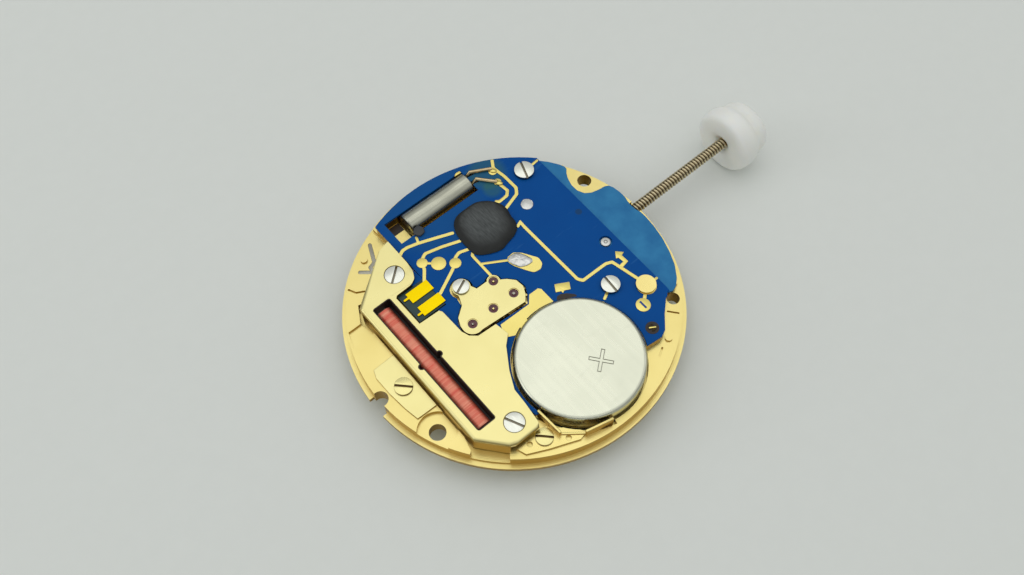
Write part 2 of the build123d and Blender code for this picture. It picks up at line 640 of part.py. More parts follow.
# Main plate
with BuildPart() as main_plate:
    column(centre, flange_r, 0, flange_top)
    column(centre, body_r, 0, body_top)
    board_outline(deck_inset, body_top, deck_top)
    slab(spots(keyless_cover_shares), body_top, shoulder_top)
    slab(spots(terminal_shares), body_top, deck_top)
    # Shelf and recess under the keyless cover
    slab(spots(ledge_shares), shoulder_top, deck_top + overrun, Mode.SUBTRACT)
    slab(spots(keyless_shares), keyless_floor, deck_top + overrun, Mode.SUBTRACT)
    # Stator, core and coil
    for route in (stator_upper, stator_lower):
        strip(route, stator_arm_w + 2 * stator_gap, stator_low, deck_top + overrun, Mode.SUBTRACT)
    column(rotor_at, stator_ring_r + stator_gap, stator_low, deck_top + overrun, Mode.SUBTRACT)
    columns(cover_screws_at, lug_r + stator_gap, stator_low, deck_top + overrun, Mode.SUBTRACT)
    core_lugs(stator_gap, core_low, deck_top + overrun, Mode.SUBTRACT)
    slab(spots(coil_bay_shares), coil_bay_floor, deck_top + overrun, Mode.SUBTRACT)
    # Train
    with BuildSketch(Plane.XY.offset(train_floor)) as train_recess:
        for place, teeth, module in (
            (centre, seconds_teeth, seconds_module),
            (third_at, third_teeth, third_module),
            (intermediate_at, intermediate_teeth, rotor_module),
        ):
            with Locations(place):
                Circle(tip_radius(teeth, module) + wheel_gap)
    extrude(train_recess.sketch, amount=deck_top + overrun - train_floor, mode=Mode.SUBTRACT)
    column(rotor_at, magnet_r + wheel_gap, magnet_low - wheel_gap, deck_top, Mode.SUBTRACT)
    column(bridge_screw_at, bridge_pillar_r, train_floor, bridge_low)
    column(spot(bridge_pin_shares), bridge_pin_r, train_floor, bridge_low)
    # Power cell, its contacts and the crystal
    column(cell_place, cell_pocket_r, cell_floor, deck_top + overrun, Mode.SUBTRACT)
    strip([cell_place, negative_post], negative_leaf_w + cell_gap, cell_floor, coil_bay_floor, Mode.SUBTRACT)
    column(negative_post, negative_post_r + stem_gap, cell_floor, deck_top + overrun, Mode.SUBTRACT)
    with BuildSketch(Plane.XY.offset(leaf_floor)) as leaf_pocket:
        with BuildLine():
            leaf_arc_r = cell_pocket_r + 2 * leaf_clearance + leaf_t
            first, last = leaf_sweep_turns
            start, end = (shifted(cell_place, leaf_arc_r, turn) for turn in (first, last))
            Polyline(end, cell_place, start)
            ThreePointArc(start, shifted(cell_place, leaf_arc_r, (first + last) / 2), end)
        make_face()
    extrude(leaf_pocket.sketch, amount=deck_top + overrun - leaf_floor, mode=Mode.SUBTRACT)
    crystal_half = crystal_r + crystal_pocket_gap
    crystal_ends = (crystal_left - crystal_pocket_gap, crystal_right + crystal_pocket_gap)
    block(*crystal_ends, crystal_y - crystal_half, crystal_y + crystal_half, cell_floor, deck_top, Mode.SUBTRACT)
    slab(crystal_slot, train_floor, deck_top + overrun, Mode.SUBTRACT)
    for route in lead_slot_shares:
        strip(spots(route), lead_slot_w, train_floor, deck_top + overrun, Mode.SUBTRACT)
    # Winding stem and sliding pinion
    block(bay_low_x, bay_high_x, -bay_half_w, bay_half_w, 0, deck_top + overrun, Mode.SUBTRACT)
    rod(pilot_r + running_gap, pilot_low_x - stem_gap, bay_low_x, Mode.SUBTRACT)
    for half_w, x_low, x_high in (
        (stem_r + stem_gap, bay_high_x, thread_low_x),
        (thread_r + stem_gap, thread_low_x - stem_gap, flange_r + overrun),
    ):
        block(x_low, x_high, -half_w, half_w, stem_z, deck_top + overrun, Mode.SUBTRACT)
        rod(half_w, x_low, x_high, Mode.SUBTRACT)
    # Levers
    release_floor = release_bottom - release_travel - running_gap
    column(lever_pivot, release_bore_r, release_floor, deck_top, Mode.SUBTRACT)
    strip(spots(stop_shares), stop_pocket_w, stop_floor, deck_top + overrun, Mode.SUBTRACT)
    column(yoke_pivot, yoke_pivot_r, keyless_floor, lever_high)
    column(stop_pivot, stop_pivot_r, stop_floor, stop_high)
    # Dial side recesses
    column(centre, date_recess_r, 0, date_recess_top, Mode.SUBTRACT)
    with BuildSketch(Plane.XY) as motion_recess:
        for place, teeth, module in (
            (centre, hour_teeth, hour_module),
            (minute_at, minute_teeth, minute_module),
            (setting_at, setting_teeth, minute_module),
            (transfer_at, transfer_teeth, hour_module),
            (driving_at, driving_teeth, date_module),
        ):
            with Locations(place):
                Circle(tip_radius(teeth, module) + wheel_gap)
    extrude(motion_recess.sketch, amount=motion_recess_top, mode=Mode.SUBTRACT)
    columns([minute_at, setting_at, transfer_at, driving_at], stud_r, stud_bottom, motion_recess_top)
    columns(date_bosses, date_boss_r, cover_plate_high, date_recess_top)
    columns(date_bosses, date_shank_r, cover_plate_high, date_screw_top, Mode.SUBTRACT)
    # Holes for arbors, jewels and screws
    column(centre, cannon_r + running_gap, 0, train_floor, Mode.SUBTRACT)
    columns([third_at, intermediate_at, rotor_at], plate_jewel_r, web_jewel_low, train_floor, Mode.SUBTRACT)
    columns(all_shanks, shank_r, shank_bottom, bridge_low, Mode.SUBTRACT)
    column(keyless_screw, shank_r, shank_bottom, lever_low, Mode.SUBTRACT)
    # Rim
    foot_at = spots(foot_shares)
    column(foot_at[0], foot_recess_r, foot_recess_floor, deck_top, Mode.SUBTRACT)
    for place, radius in zip(foot_at, foot_radii):
        column(place, radius, 0, deck_top, Mode.SUBTRACT)
    notch_at = spot(notch_shares)
    column(notch_at, notch_r, 0, body_top, Mode.SUBTRACT)
    block(-flange_r, -body_r, -notch_half_w, notch_half_w, 0, flange_top, Mode.SUBTRACT)
    slab(spots(step_shares), body_top - surface_cut, body_top, Mode.SUBTRACT)
    slab(spots(rim_gap_shares), rim_pocket_floor, body_top, Mode.SUBTRACT)
    for route in ground_shares:
        strip(spots(route), ground_w, ground_low, body_top, Mode.SUBTRACT)
    strip(spots(arc_slot_shares), arc_slot_w, ground_low, body_top, Mode.SUBTRACT)
    for route in rim_slot_shares:
        strip(spots(route), rim_slot_w, body_top - surface_cut, body_top, Mode.SUBTRACT)
    columns(spots(rim_post_shares), rim_post_r, body_top - surface_cut, rim_post_top)
    column(board_pin_at, pin_neck_r, body_top, deck_top, Mode.SUBTRACT)
save(main_plate, "main_plate")

# Jewels in the plate
with BuildPart() as plate_jewels:
    for place in (third_at, intermediate_at, rotor_at):
        tube(place, plate_jewel_r, arbor_r + running_gap, web_jewel_low, magnet_low - wheel_gap)
save(plate_jewels, "plate_jewels")

# Train bridge
with BuildPart() as train_bridge:
    bridge_shape(0, bridge_low, bridge_top)
    columns(jewels_at, jewel_r, bridge_low, bridge_top, Mode.SUBTRACT)
    columns(jewels_at, jewel_sink_r, pivot_top, bridge_top, Mode.SUBTRACT)
    column(bridge_screw_at, shank_r, bridge_low, bridge_top, Mode.SUBTRACT)
save(train_bridge, "train_bridge")

with BuildPart() as bridge_jewels:
    tube(centre, jewel_r, second_hand_r + running_gap, bridge_low, bridge_low + jewel_t)
    for place in (third_at, intermediate_at, rotor_at):
        tube(place, jewel_r, arbor_r + running_gap, bridge_low, bridge_low + jewel_t)
save(bridge_jewels, "bridge_jewels")

with BuildPart() as bridge_screw:
    screw(bridge_screw_at, bridge_head_r, bridge_top, bridge_top + bridge_head_h, bridge_slot_turn)
save(bridge_screw, "bridge_screw")

# Stepping motor: stator, core and winding
with BuildPart() as stator:
    for route in (stator_upper, stator_lower):
        strip(route, stator_arm_w, stator_low, core_low)
    columns(cover_screws_at, lug_r, stator_low, core_low)
    column(rotor_at, stator_ring_r, stator_low, core_low)
    column(rotor_at, stator_hole_r, stator_low, core_low, Mode.SUBTRACT)
    columns(cover_screws_at, shank_r, stator_low, core_low, Mode.SUBTRACT)
save(stator, "stator")

with BuildPart() as coil_core:
    strip([core_low_end, core_high_end], 2 * core_half_w, core_low, core_high)
    core_lugs(0, core_low, core_high)
    columns(cover_screws_at, shank_r, core_low, core_high, Mode.SUBTRACT)
save(coil_core, "coil_core")

coil_z = (core_low + core_high) / 2
with BuildPart() as coil_winding:
    with BuildSketch(Plane.XZ.offset(-coil_y - coil_length / 2)):
        with Locations((coil_x, coil_z)):
            RectangleRounded(2 * coil_half, 2 * coil_half, coil_round)
            Rectangle(2 * core_half_w, core_high - core_low, mode=Mode.SUBTRACT)
    extrude(amount=coil_length)
save(coil_winding, "coil_winding")

# Coil cover: a sheet with a window, a folded side wall and two seats for the screws
with BuildPart() as coil_cover:
    slab(spots(cover_shares), cover_low, cover_top)
    with BuildSketch(Plane.XY.offset(cover_wall_bottom)) as cover_side:
        with BuildLine():
            Polyline(*spots(cover_wall_shares))
            offset(amount=cover_wall, side=Side.LEFT, closed=True)
        make_face()
    extrude(cover_side.sketch, amount=cover_low - cover_wall_bottom)
    columns(cover_screws_at, cover_boss_r, core_high, cover_low)
    slab(spots(window_shares), cover_low, cover_top, Mode.SUBTRACT)
    columns(spots(window_bump_shares), window_bump_r, cover_low, cover_top, Mode.SUBTRACT)
    column(cell_place, cell_r + cover_cell_gap, cover_wall_bottom, cover_top, Mode.SUBTRACT)
    columns(cover_screws_at, cover_head_r + head_gap, cover_head_low, cover_top, Mode.SUBTRACT)
    columns(cover_screws_at, shank_r, core_high, cover_top, Mode.SUBTRACT)
save(coil_cover, "coil_cover")

with BuildPart() as cover_screws:
    for place, turn in zip(cover_screws_at, cover_slot_turns):
        screw(place, cover_head_r, cover_head_low, cover_top - head_gap, turn)
save(cover_screws, "cover_screws")

with BuildPart() as coil_terminal:
    slab(spots(terminal_shares), deck_top, board_top)
save(coil_terminal, "coil_terminal")

with BuildPart() as coil_contacts:
    for corners in tab_shares:
        slab(spots(corners), board_top, board_top + tab_t)
    for route in finger_shares:
        strip(spots(route), finger_w, board_top, board_top + tab_t)
save(coil_contacts, "coil_contacts")

# Circuit board with what it carries
with BuildPart() as circuit_board:
    board_outline(0, deck_top, board_top)
    slab(spots(terminal_shares), deck_top, board_top, Mode.SUBTRACT)
    slab(crystal_slot, deck_top, board_top, Mode.SUBTRACT)
    for route in lead_slot_shares:
        strip(spots(route), lead_slot_w, deck_top, board_top, Mode.SUBTRACT)
    bridge_shape(board_gap, deck_top, board_top, Mode.SUBTRACT)
    column(cell_place, board_cell_r, deck_top, board_top, Mode.SUBTRACT)
    column(lever_pivot, release_hole_r, deck_top, board_top, Mode.SUBTRACT)
    column(board_pin_at, release_hole_r, deck_top, board_top, Mode.SUBTRACT)
    column(negative_post, negative_post_r, deck_top, board_top, Mode.SUBTRACT)
    columns(board_screws_at, shank_r, deck_top, board_top, Mode.SUBTRACT)
    column(foot_at[2], foot_radii[2], deck_top, board_top, Mode.SUBTRACT)
save(circuit_board, "circuit_board")

with BuildPart() as board_traces:
    trace_top = board_top + trace_t
    for route in trace_shares:
        strip(spots(route), trace_w, board_top, trace_top)
    for place, radius in zip(spots(pad_shares), pad_radii):
        column(place, radius, board_top, trace_top)
    columns(spots(crystal_pad_shares), crystal_pad_r, board_top, trace_top)
    column(negative_post, negative_post_r, board_top, trace_top, Mode.SUBTRACT)
save(board_traces, "board_traces")

chip_at = spot(chip_centre_shares)
trace_top = board_top + trace_t
dome_rise = chip_h - chip_edge_h
dome_r = (chip_r ** 2 + dome_rise ** 2) / (2 * dome_rise)
chip_middle_h = chip_h - dome_r + sqrt(dome_r ** 2 - (chip_r / 2) ** 2)
with BuildPart() as chip_resin:
    with BuildSketch(Plane(origin=(*chip_at, trace_top), x_dir=(1, 0, 0), z_dir=(0, -1, 0))):
        with BuildLine():
            Polyline((0, chip_h), (0, 0), (chip_r, 0), (chip_r, chip_edge_h))
            ThreePointArc((chip_r, chip_edge_h), (chip_r / 2, chip_middle_h), (0, chip_h))
        make_face()
    revolve(axis=Axis((*chip_at, 0), (0, 0, 1)))
save(chip_resin, "chip_resin")

with BuildPart() as crystal_can:
    rod(crystal_r, crystal_left, crystal_right, y=crystal_y, z=crystal_z)
    fillet(crystal_can.edges().group_by(Axis.X)[0], crystal_round)
    rod(crystal_bead_r, crystal_right, crystal_right + crystal_bead_t, y=crystal_y, z=crystal_z)
save(crystal_can, "crystal_can")

lead_z = trace_top + lead_r


def crystal_lead(exit_y, bend, pad, mode=Mode.ADD):
    """A wire from the end of the crystal, up through its slot and over to its pad."""
    start = (crystal_right + crystal_bead_t, exit_y, lead_exit_z)
    with BuildLine() as route:
        Polyline(start, (*bend, lead_z), (*pad, lead_z))
    with BuildSketch(Plane(origin=start, z_dir=route.line % 0)) as section:
        Circle(lead_r)
    sweep(section.sketch, path=route.line, transition=Transition.ROUND, mode=mode)


crystal_pads = spots(crystal_pad_shares)
lead_bends = spots(lead_bend_shares)
lead_exits = (crystal_y + lead_spacing / 2, crystal_y - lead_spacing / 2)
with BuildPart() as crystal_leads:
    for exit_y, bend, pad in zip(lead_exits, lead_bends, crystal_pads):
        crystal_lead(exit_y, bend, pad)
save(crystal_leads, "crystal_leads")

with BuildPart() as solder_joints:
    strip(spots(solder_shares), solder_w, trace_top, trace_top + solder_t)
    column(spot(grey_disc_shares), grey_disc_r, board_top, trace_top)
    columns(crystal_pads, crystal_pad_r, trace_top, trace_top + crystal_pad_t)
    for exit_y, bend, pad in zip(lead_exits, lead_bends, crystal_pads):
        crystal_lead(exit_y, bend, pad, Mode.SUBTRACT)
save(solder_joints, "solder_joints")

# Sheet over the winding works
with BuildPart() as keyless_cover:
    slab(spots(keyless_cover_shares), shoulder_top, deck_top)
    column(lever_pivot, release_hole_r, shoulder_top, deck_top, Mode.SUBTRACT)
    column(foot_at[2], foot_radii[2], shoulder_top, deck_top, Mode.SUBTRACT)
save(keyless_cover, "keyless_cover")

with BuildPart() as board_screws:
    for place, head_r, turn in zip(board_screws_at, board_head_radii, board_slot_turns):
        screw(place, head_r, board_top, board_top + board_head_h, turn)
save(board_screws, "board_screws")

with BuildPart() as board_pin:
    screw(board_pin_at, pin_head_r, board_top, board_top + pin_head_h, pin_slot_turn, body_top, pin_neck_r)
save(board_pin, "board_pin")

# Power cell and its contacts
shoulder_low, shoulder_r = cell_height - cell_shoulder, cell_r - cell_shoulder
with BuildPart() as power_cell:
    with BuildSketch(Plane(origin=(*cell_place, cell_bottom), x_dir=(1, 0, 0), z_dir=(0, -1, 0))):
        with BuildLine():
            Polyline(
                (0, 0), (cell_cap_r, 0), (cell_cap_r, cell_cap_h), (cell_r, cell_cap_h + cell_bevel),
                (cell_r, shoulder_low), (shoulder_r, cell_height), (0, cell_height), close=True,
            )
        make_face()
    revolve(axis=Axis((*cell_place, 0), (0, 0, 1)))
save(power_cell, "power_cell")

leaf_low = cell_floor + insulator_t
with BuildPart() as cell_insulator:
    column(cell_place, cell_r, cell_floor, leaf_low)
    strip([cell_place, negative_post], negative_leaf_w, cell_floor, leaf_low)
save(cell_insulator, "cell_insulator")

with BuildPart() as negative_contact:
    column(cell_place, cell_cap_r / 2, leaf_low, cell_bottom)
    strip([cell_place, negative_post], negative_leaf_w, leaf_low, cell_bottom)
    column(negative_post, negative_post_r, leaf_low, trace_top)
    column(negative_post, negative_dome_r, trace_top, trace_top + negative_dome_h)
save(negative_contact, "negative_contact")

with BuildPart() as positive_strip:
    slab(spots(contact_shares), board_top, board_top + trace_t)
    column(cell_place, board_cell_r, board_top, board_top + trace_t, Mode.SUBTRACT)
    strip(spots(tongue_shares), tongue_w, board_top, board_top + trace_t)
    column(cell_place, cell_r, board_top, board_top + trace_t, Mode.SUBTRACT)
save(positive_strip, "positive_strip")

with BuildPart() as cell_clamp:
    slab(spots(clamp_shares), clamp_low, clamp_top)
    leaf_inner_r = cell_pocket_r + leaf_clearance
    column(cell_place, leaf_inner_r + leaf_t, clamp_low, clamp_top, Mode.SUBTRACT)
    with BuildSketch(Plane.XY.offset(leaf_floor)) as leaf_arc:
        with BuildLine():
            first, last = leaf_turns
            middle = (first + last) / 2
            leaf_outer_r = leaf_inner_r + leaf_t
            inner = [shifted(cell_place, leaf_inner_r, turn) for turn in (first, middle, last)]
            outer = [shifted(cell_place, leaf_outer_r, turn) for turn in (last, middle, first)]
            ThreePointArc(*inner)
            Line(inner[-1], outer[0])
            ThreePointArc(*outer)
            Line(outer[-1], inner[0])
        make_face()
    extrude(leaf_arc.sketch, amount=leaf_top - leaf_floor)
    columns(spots(clamp_hole_shares), clamp_hole_r, clamp_low, clamp_top, Mode.SUBTRACT)
    column(clamp_screw_at, shank_r, clamp_low, clamp_top, Mode.SUBTRACT)
save(cell_clamp, "cell_clamp")

with BuildPart() as clamp_screw:
    screw(clamp_screw_at, clamp_head_r, clamp_top, clamp_top + gold_head_h, gold_slot_turn)
save(clamp_screw, "clamp_screw")

with BuildPart() as fixing_plate:
    slab(spots(fixing_shares), body_top, body_top + fixing_t)
    column(fixing_screw_at, shank_r, body_top, body_top + fixing_t, Mode.SUBTRACT)
save(fixing_plate, "fixing_plate")

with BuildPart() as fixing_plate_screw:
    fixing_top = body_top + fixing_t
    screw(fixing_screw_at, gold_head_r, fixing_top, fixing_top + gold_head_h, gold_slot_turn)
save(fixing_plate_screw, "fixing_plate_screw")

with BuildPart() as ground_spring:
    for route in ground_shares:
        strip(spots(route), ground_w, ground_low, ground_top)
save(ground_spring, "ground_spring")

# Date cover, its screws and the jumper spring
with BuildPart() as date_cover:
    column(centre, cover_plate_r, cover_plate_low, cover_plate_high)
    column(centre, cover_plate_hole_r, cover_plate_low, cover_plate_high, Mode.SUBTRACT)
    columns(date_bosses, date_shank_r, cover_plate_low, cover_plate_high, Mode.SUBTRACT)
save(date_cover, "date_cover")

with BuildPart() as date_cover_screws:
    columns(date_bosses, date_screw_r, 0, cover_plate_low)
    columns(date_bosses, date_shank_r, 0, date_screw_top)
save(date_cover_screws, "date_cover_screws")

jumper_route = spots(date_jumper_shares)
with BuildPart() as date_jumper:
    column(jumper_route[0], date_jumper_foot_r, ring_low, date_recess_top)
    strip(jumper_route, date_jumper_w, ring_low, ring_high)
save(date_jumper, "date_jumper")

with BuildPart() as setting_jumper:
    strip(spots(jumper_shares), jumper_w, lever_low, lever_high)
    column(keyless_screw, keyless_head_r, lever_low, lever_high)
    column(keyless_screw, shank_r, shank_bottom, lever_low)
save(setting_jumper, "setting_jumper")

# Rotor and the wheels of the train
rotor_phase = 0
intermediate_phase = meshed(0, rotor_teeth, rotor_phase, intermediate_teeth)
seconds_phase = meshed(0, intermediate_leaves, 0, seconds_teeth)
third_phase = meshed(third_jewel_turn, seconds_leaves, 0, third_teeth)
centre_phase = meshed(third_jewel_turn + 180, third_leaves, 0, centre_teeth)

with BuildPart() as rotor_magnet:
    tube(rotor_at, magnet_r, hub_r, magnet_low, magnet_high)
save(rotor_magnet, "rotor_magnet")

with BuildPart() as rotor_pinion:
    column(rotor_at, arbor_r, pivot_bottom, pivot_top)
    column(rotor_at, hub_r, magnet_low, rotor_leaves_low)
    gear(rotor_at, rotor_teeth, rotor_module, rotor_phase, rotor_leaves_low, rotor_leaves_high)
save(rotor_pinion, "rotor_pinion")

with BuildPart() as intermediate_wheel:
    low, high = intermediate_wheel_low, intermediate_wheel_high
    gear(intermediate_at, intermediate_teeth, rotor_module, intermediate_phase, low, high)
    rim = spoke_share * tip_radius(intermediate_teeth, rotor_module)
    spokes(intermediate_at, rim, train_hub_r, train_arms, low, high)
    gear(intermediate_at, intermediate_leaves, seconds_module, 0, high, intermediate_leaves_high)
    column(intermediate_at, arbor_r, pivot_bottom, pivot_top)
save(intermediate_wheel, "intermediate_wheel")

with BuildPart() as third_wheel:
    gear(third_at, third_teeth, third_module, third_phase, third_wheel_low, third_wheel_high)
    rim = spoke_share * tip_radius(third_teeth, third_module)
    spokes(third_at, rim, train_hub_r, train_arms, third_wheel_low, third_wheel_high)
    gear(third_at, third_leaves, centre_module, 0, third_leaves_low, third_wheel_low)
    column(third_at, arbor_r, pivot_bottom, pivot_top)
save(third_wheel, "third_wheel")

with BuildPart() as seconds_wheel:
    gear(centre, seconds_teeth, seconds_module, seconds_phase, seconds_wheel_low, seconds_wheel_high)
    rim = spoke_share * tip_radius(seconds_teeth, seconds_module)
    spokes(centre, rim, train_hub_r, train_arms, seconds_wheel_low, seconds_wheel_high)
    gear(centre, seconds_leaves, third_module, 0, seconds_leaves_low, seconds_leaves_high)
    column(centre, hub_r, seconds_leaves_high, seconds_wheel_low)
    column(centre, second_hand_r, seconds_leaves_low, seconds_wheel_high, Mode.SUBTRACT)
save(seconds_wheel, "seconds_wheel")

with BuildPart() as seconds_arbor:
    column(centre, second_hand_r, seconds_bottom, pivot_top)
save(seconds_arbor, "seconds_arbor")

with BuildPart() as centre_wheel:
    gear(centre, centre_teeth, centre_module, centre_phase, centre_wheel_low, centre_wheel_high)
    rim = spoke_share * tip_radius(centre_teeth, centre_module)
    spokes(centre, rim, centre_hub_r, centre_arms, centre_wheel_low, centre_wheel_high)
    column(centre, cannon_r + centre_fit, centre_wheel_low, centre_wheel_high, Mode.SUBTRACT)
save(centre_wheel, "centre_wheel")

# Motion works
minute_phase = meshed(minute_turn, cannon_leaves, 0, minute_teeth)
hour_phase = meshed(minute_turn + 180, minute_leaves, minute_phase, hour_teeth)
setting_turn = degrees(atan2(setting_at[1] - minute_at[1], setting_at[0] - minute_at[0]))
setting_phase = meshed(setting_turn, minute_teeth, minute_phase, setting_teeth)
transfer_phase = meshed(date_drive_turn, hour_teeth, hour_phase, transfer_teeth)
driving_phase = meshed(date_drive_turn, transfer_leaves, transfer_phase, driving_teeth)

with BuildPart() as cannon_pinion:
    gear(centre, cannon_leaves, minute_module, 0, cannon_leaves_low, cannon_leaves_high)
    column(centre, cannon_r, cannon_bottom, cannon_top)
    column(centre, cannon_bore, cannon_bottom, cannon_top, Mode.SUBTRACT)
save(cannon_pinion, "cannon_pinion")

with BuildPart() as minute_wheel:
    gear(minute_at, minute_teeth, minute_module, minute_phase, minute_wheel_low, minute_wheel_high)
    gear(minute_at, minute_leaves, hour_module, minute_phase, date_recess_top, minute_wheel_low)
    column(minute_at, stud_r + running_gap, date_recess_top, minute_wheel_high, Mode.SUBTRACT)
save(minute_wheel, "minute_wheel")

with BuildPart() as hour_wheel:
    gear(centre, hour_teeth, hour_module, hour_phase, hour_wheel_low, hour_wheel_high)
    column(centre, hour_pipe_r, hour_bottom, hour_wheel_low)
    column(centre, hour_pipe_bore, hour_bottom, hour_wheel_high, Mode.SUBTRACT)
save(hour_wheel, "hour_wheel")

with BuildPart() as setting_wheel:
    gear(setting_at, setting_teeth, minute_module, setting_phase, minute_wheel_low, minute_wheel_high)
    column(setting_at, stud_r + running_gap, minute_wheel_low, minute_wheel_high, Mode.SUBTRACT)
save(setting_wheel, "setting_wheel")

# Date drive and date ring
with BuildPart() as date_transfer_wheel:
    gear(transfer_at, transfer_teeth, hour_module, transfer_phase, hour_wheel_low, hour_wheel_high)
    gear(transfer_at, transfer_leaves, date_module, transfer_phase, hour_wheel_high, transfer_leaves_high)
    column(transfer_at, stud_r + running_gap, hour_wheel_low, transfer_leaves_high, Mode.SUBTRACT)
save(date_transfer_wheel, "date_transfer_wheel")

with BuildPart() as date_driving_wheel:
    gear(driving_at, driving_teeth, date_module, driving_phase, driving_wheel_low, driving_wheel_high)
    column(driving_at, driving_hub_r, ring_low, driving_wheel_low)
    finger_end = shifted(driving_at, date_finger_r - date_finger_w / 2, date_drive_turn + 180)
    strip([driving_at, finger_end], date_finger_w, ring_low, ring_high)
    column(driving_at, stud_r + running_gap, ring_low, driving_wheel_high, Mode.SUBTRACT)
save(date_driving_wheel, "date_driving_wheel")

with BuildPart() as date_ring:
    corners = []
    ring_flanks = (
        (ring_inner_r, -ring_root_share), (ring_tip_r, -ring_point_share),
        (ring_tip_r, ring_point_share), (ring_inner_r, ring_root_share),
    )
    for tooth in range(ring_teeth):
        for radius, turn in ring_flanks:
            corners.append(polar(radius, date_beak_turn + (tooth + 1 / 2 + turn) * 360 / ring_teeth))
    with BuildSketch(Plane.XY.offset(ring_low)):
        Circle(ring_outer_r)
        with BuildLine():
            Polyline(*corners, close=True)
        make_face(mode=Mode.SUBTRACT)
    extrude(amount=ring_high - ring_low)
save(date_ring, "date_ring")

# Winding stem, its sliding pinion and the crown
with BuildPart() as sliding_pinion:
    rod(clutch_r, clutch_low_x, clutch_high_x)
    with BuildSketch(Plane.YZ.offset(clutch_groove_x)):
        with Locations((0, stem_z)):
            Circle(clutch_r)
            Circle(clutch_groove_r, mode=Mode.SUBTRACT)
    extrude(amount=clutch_groove_w, mode=Mode.SUBTRACT)
    with BuildSketch(Plane.YZ.offset(clutch_low_x)):
        with Locations((0, stem_z)):
            Rectangle(2 * (square_half + running_gap), 2 * (square_half + running_gap))
    extrude(amount=clutch_high_x - clutch_low_x, mode=Mode.SUBTRACT)
    with BuildSketch(Plane.YZ.offset(clutch_low_x)):
        with Locations((0, stem_z)):
            with PolarLocations(clutch_r, clutch_tooth_count):
                Rectangle(clutch_tooth_depth, clutch_tooth_w)
    extrude(amount=clutch_tooth_length, mode=Mode.SUBTRACT)
save(sliding_pinion, "sliding_pinion")

with BuildPart() as winding_stem:
    rod(pilot_r, pilot_low_x, square_low_x)
    with BuildSketch(Plane.YZ.offset(square_low_x)):
        with Locations((0, stem_z)):
            Rectangle(2 * square_half, 2 * square_half)
    extrude(amount=square_high_x - square_low_x)
    rod(stem_r, square_high_x, lever_groove_x)
    rod(lever_groove_r, lever_groove_x, lever_groove_x + lever_groove_w)
    rod(stem_r, lever_groove_x + lever_groove_w, thread_low_x)
    with BuildSketch(Plane.XZ):
        with BuildLine():
            turns = round((thread_high_x - thread_low_x) / thread_pitch)
            pitch = (thread_high_x - thread_low_x) / turns
            ridge = []
            for turn in range(turns):
                ridge.append((thread_low_x + turn * pitch, stem_z + thread_r - thread_depth))
                ridge.append((thread_low_x + (turn + 1 / 2) * pitch, stem_z + thread_r))
            Polyline((thread_low_x, stem_z), *ridge, (thread_high_x, stem_z + thread_r - thread_depth),
                     (thread_high_x, stem_z), close=True)
        make_face()
    revolve(axis=Axis((0, 0, stem_z), (1, 0, 0)))
save(winding_stem, "winding_stem")

with BuildPart() as crown_knob:
    rod(knob_r, knob_front_x, knob_step_x)
    rod(knob_neck_r, knob_step_x, knob_end_x)
    fillet(crown_knob.edges().filter_by(GeomType.CIRCLE).group_by(Axis.X)[-1], knob_round)
    fillet(crown_knob.edges().filter_by(GeomType.CIRCLE).group_by(SortBy.RADIUS)[-1], knob_edge_round)
    rod(thread_r, knob_front_x, thread_high_x, Mode.SUBTRACT)
save(crown_knob, "crown_knob")

# Levers of the winding works
with BuildPart() as setting_lever:
    slab(spots(setting_lever_shares), lever_low, lever_high)
    lever_reach = hypot(stem_pull / 2, lever_pivot[1])
    pin_turn = degrees(atan2(-lever_pivot[1], -stem_pull / 2))
    pin_at = shifted(lever_pivot, lever_reach, pin_turn)
    column(pin_at, lever_tip_r, lever_low, lever_high)
    column(pin_at, lever_pin_r, pin_bottom, lever_low)
    column(lever_pivot, release_bore_r, lever_low, lever_high, Mode.SUBTRACT)
save(setting_lever, "setting_lever")

with BuildPart() as release_pin:
    column(lever_pivot, release_pin_r, release_bottom, release_head_low)
    column(lever_pivot, release_head_r, release_head_low, release_top)
save(release_pin, "release_pin")

with BuildPart() as yoke:
    column(yoke_pivot, yoke_hub_r, lever_low, lever_high)
    strip(spots(yoke_shares), yoke_w, lever_low, lever_high)
    column(yoke_pivot, yoke_pivot_r + running_gap, lever_low, lever_high, Mode.SUBTRACT)
save(yoke, "yoke")

with BuildPart() as stop_lever:
    column(stop_pivot, stop_hub_r, stop_low, stop_high)
    strip(spots(stop_shares), stop_w, stop_low, stop_high)
    column(stop_pivot, stop_pivot_r + running_gap, stop_low, stop_high, Mode.SUBTRACT)
save(stop_lever, "stop_lever")
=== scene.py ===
# Quartz watch movement with its coil, cell and circuit board up, lying on a pale table.
import json
from math import cos, pi, radians, sin

import bpy
from mathutils import Matrix, Vector


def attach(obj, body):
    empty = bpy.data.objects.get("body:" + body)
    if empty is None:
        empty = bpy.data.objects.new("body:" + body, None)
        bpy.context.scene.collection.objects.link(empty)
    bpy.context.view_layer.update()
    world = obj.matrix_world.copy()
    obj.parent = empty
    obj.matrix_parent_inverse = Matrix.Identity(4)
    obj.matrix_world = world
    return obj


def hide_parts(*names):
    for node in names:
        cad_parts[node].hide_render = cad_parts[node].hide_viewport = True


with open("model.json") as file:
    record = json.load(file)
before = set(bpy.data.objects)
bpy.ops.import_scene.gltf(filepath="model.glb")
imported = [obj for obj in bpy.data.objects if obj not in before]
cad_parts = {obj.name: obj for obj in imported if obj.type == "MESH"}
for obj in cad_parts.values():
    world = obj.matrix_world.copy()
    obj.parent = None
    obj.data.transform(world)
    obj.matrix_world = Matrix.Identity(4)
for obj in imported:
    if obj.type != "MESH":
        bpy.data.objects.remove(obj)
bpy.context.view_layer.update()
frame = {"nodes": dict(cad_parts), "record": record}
nodes = frame["nodes"]
mm = 0.001
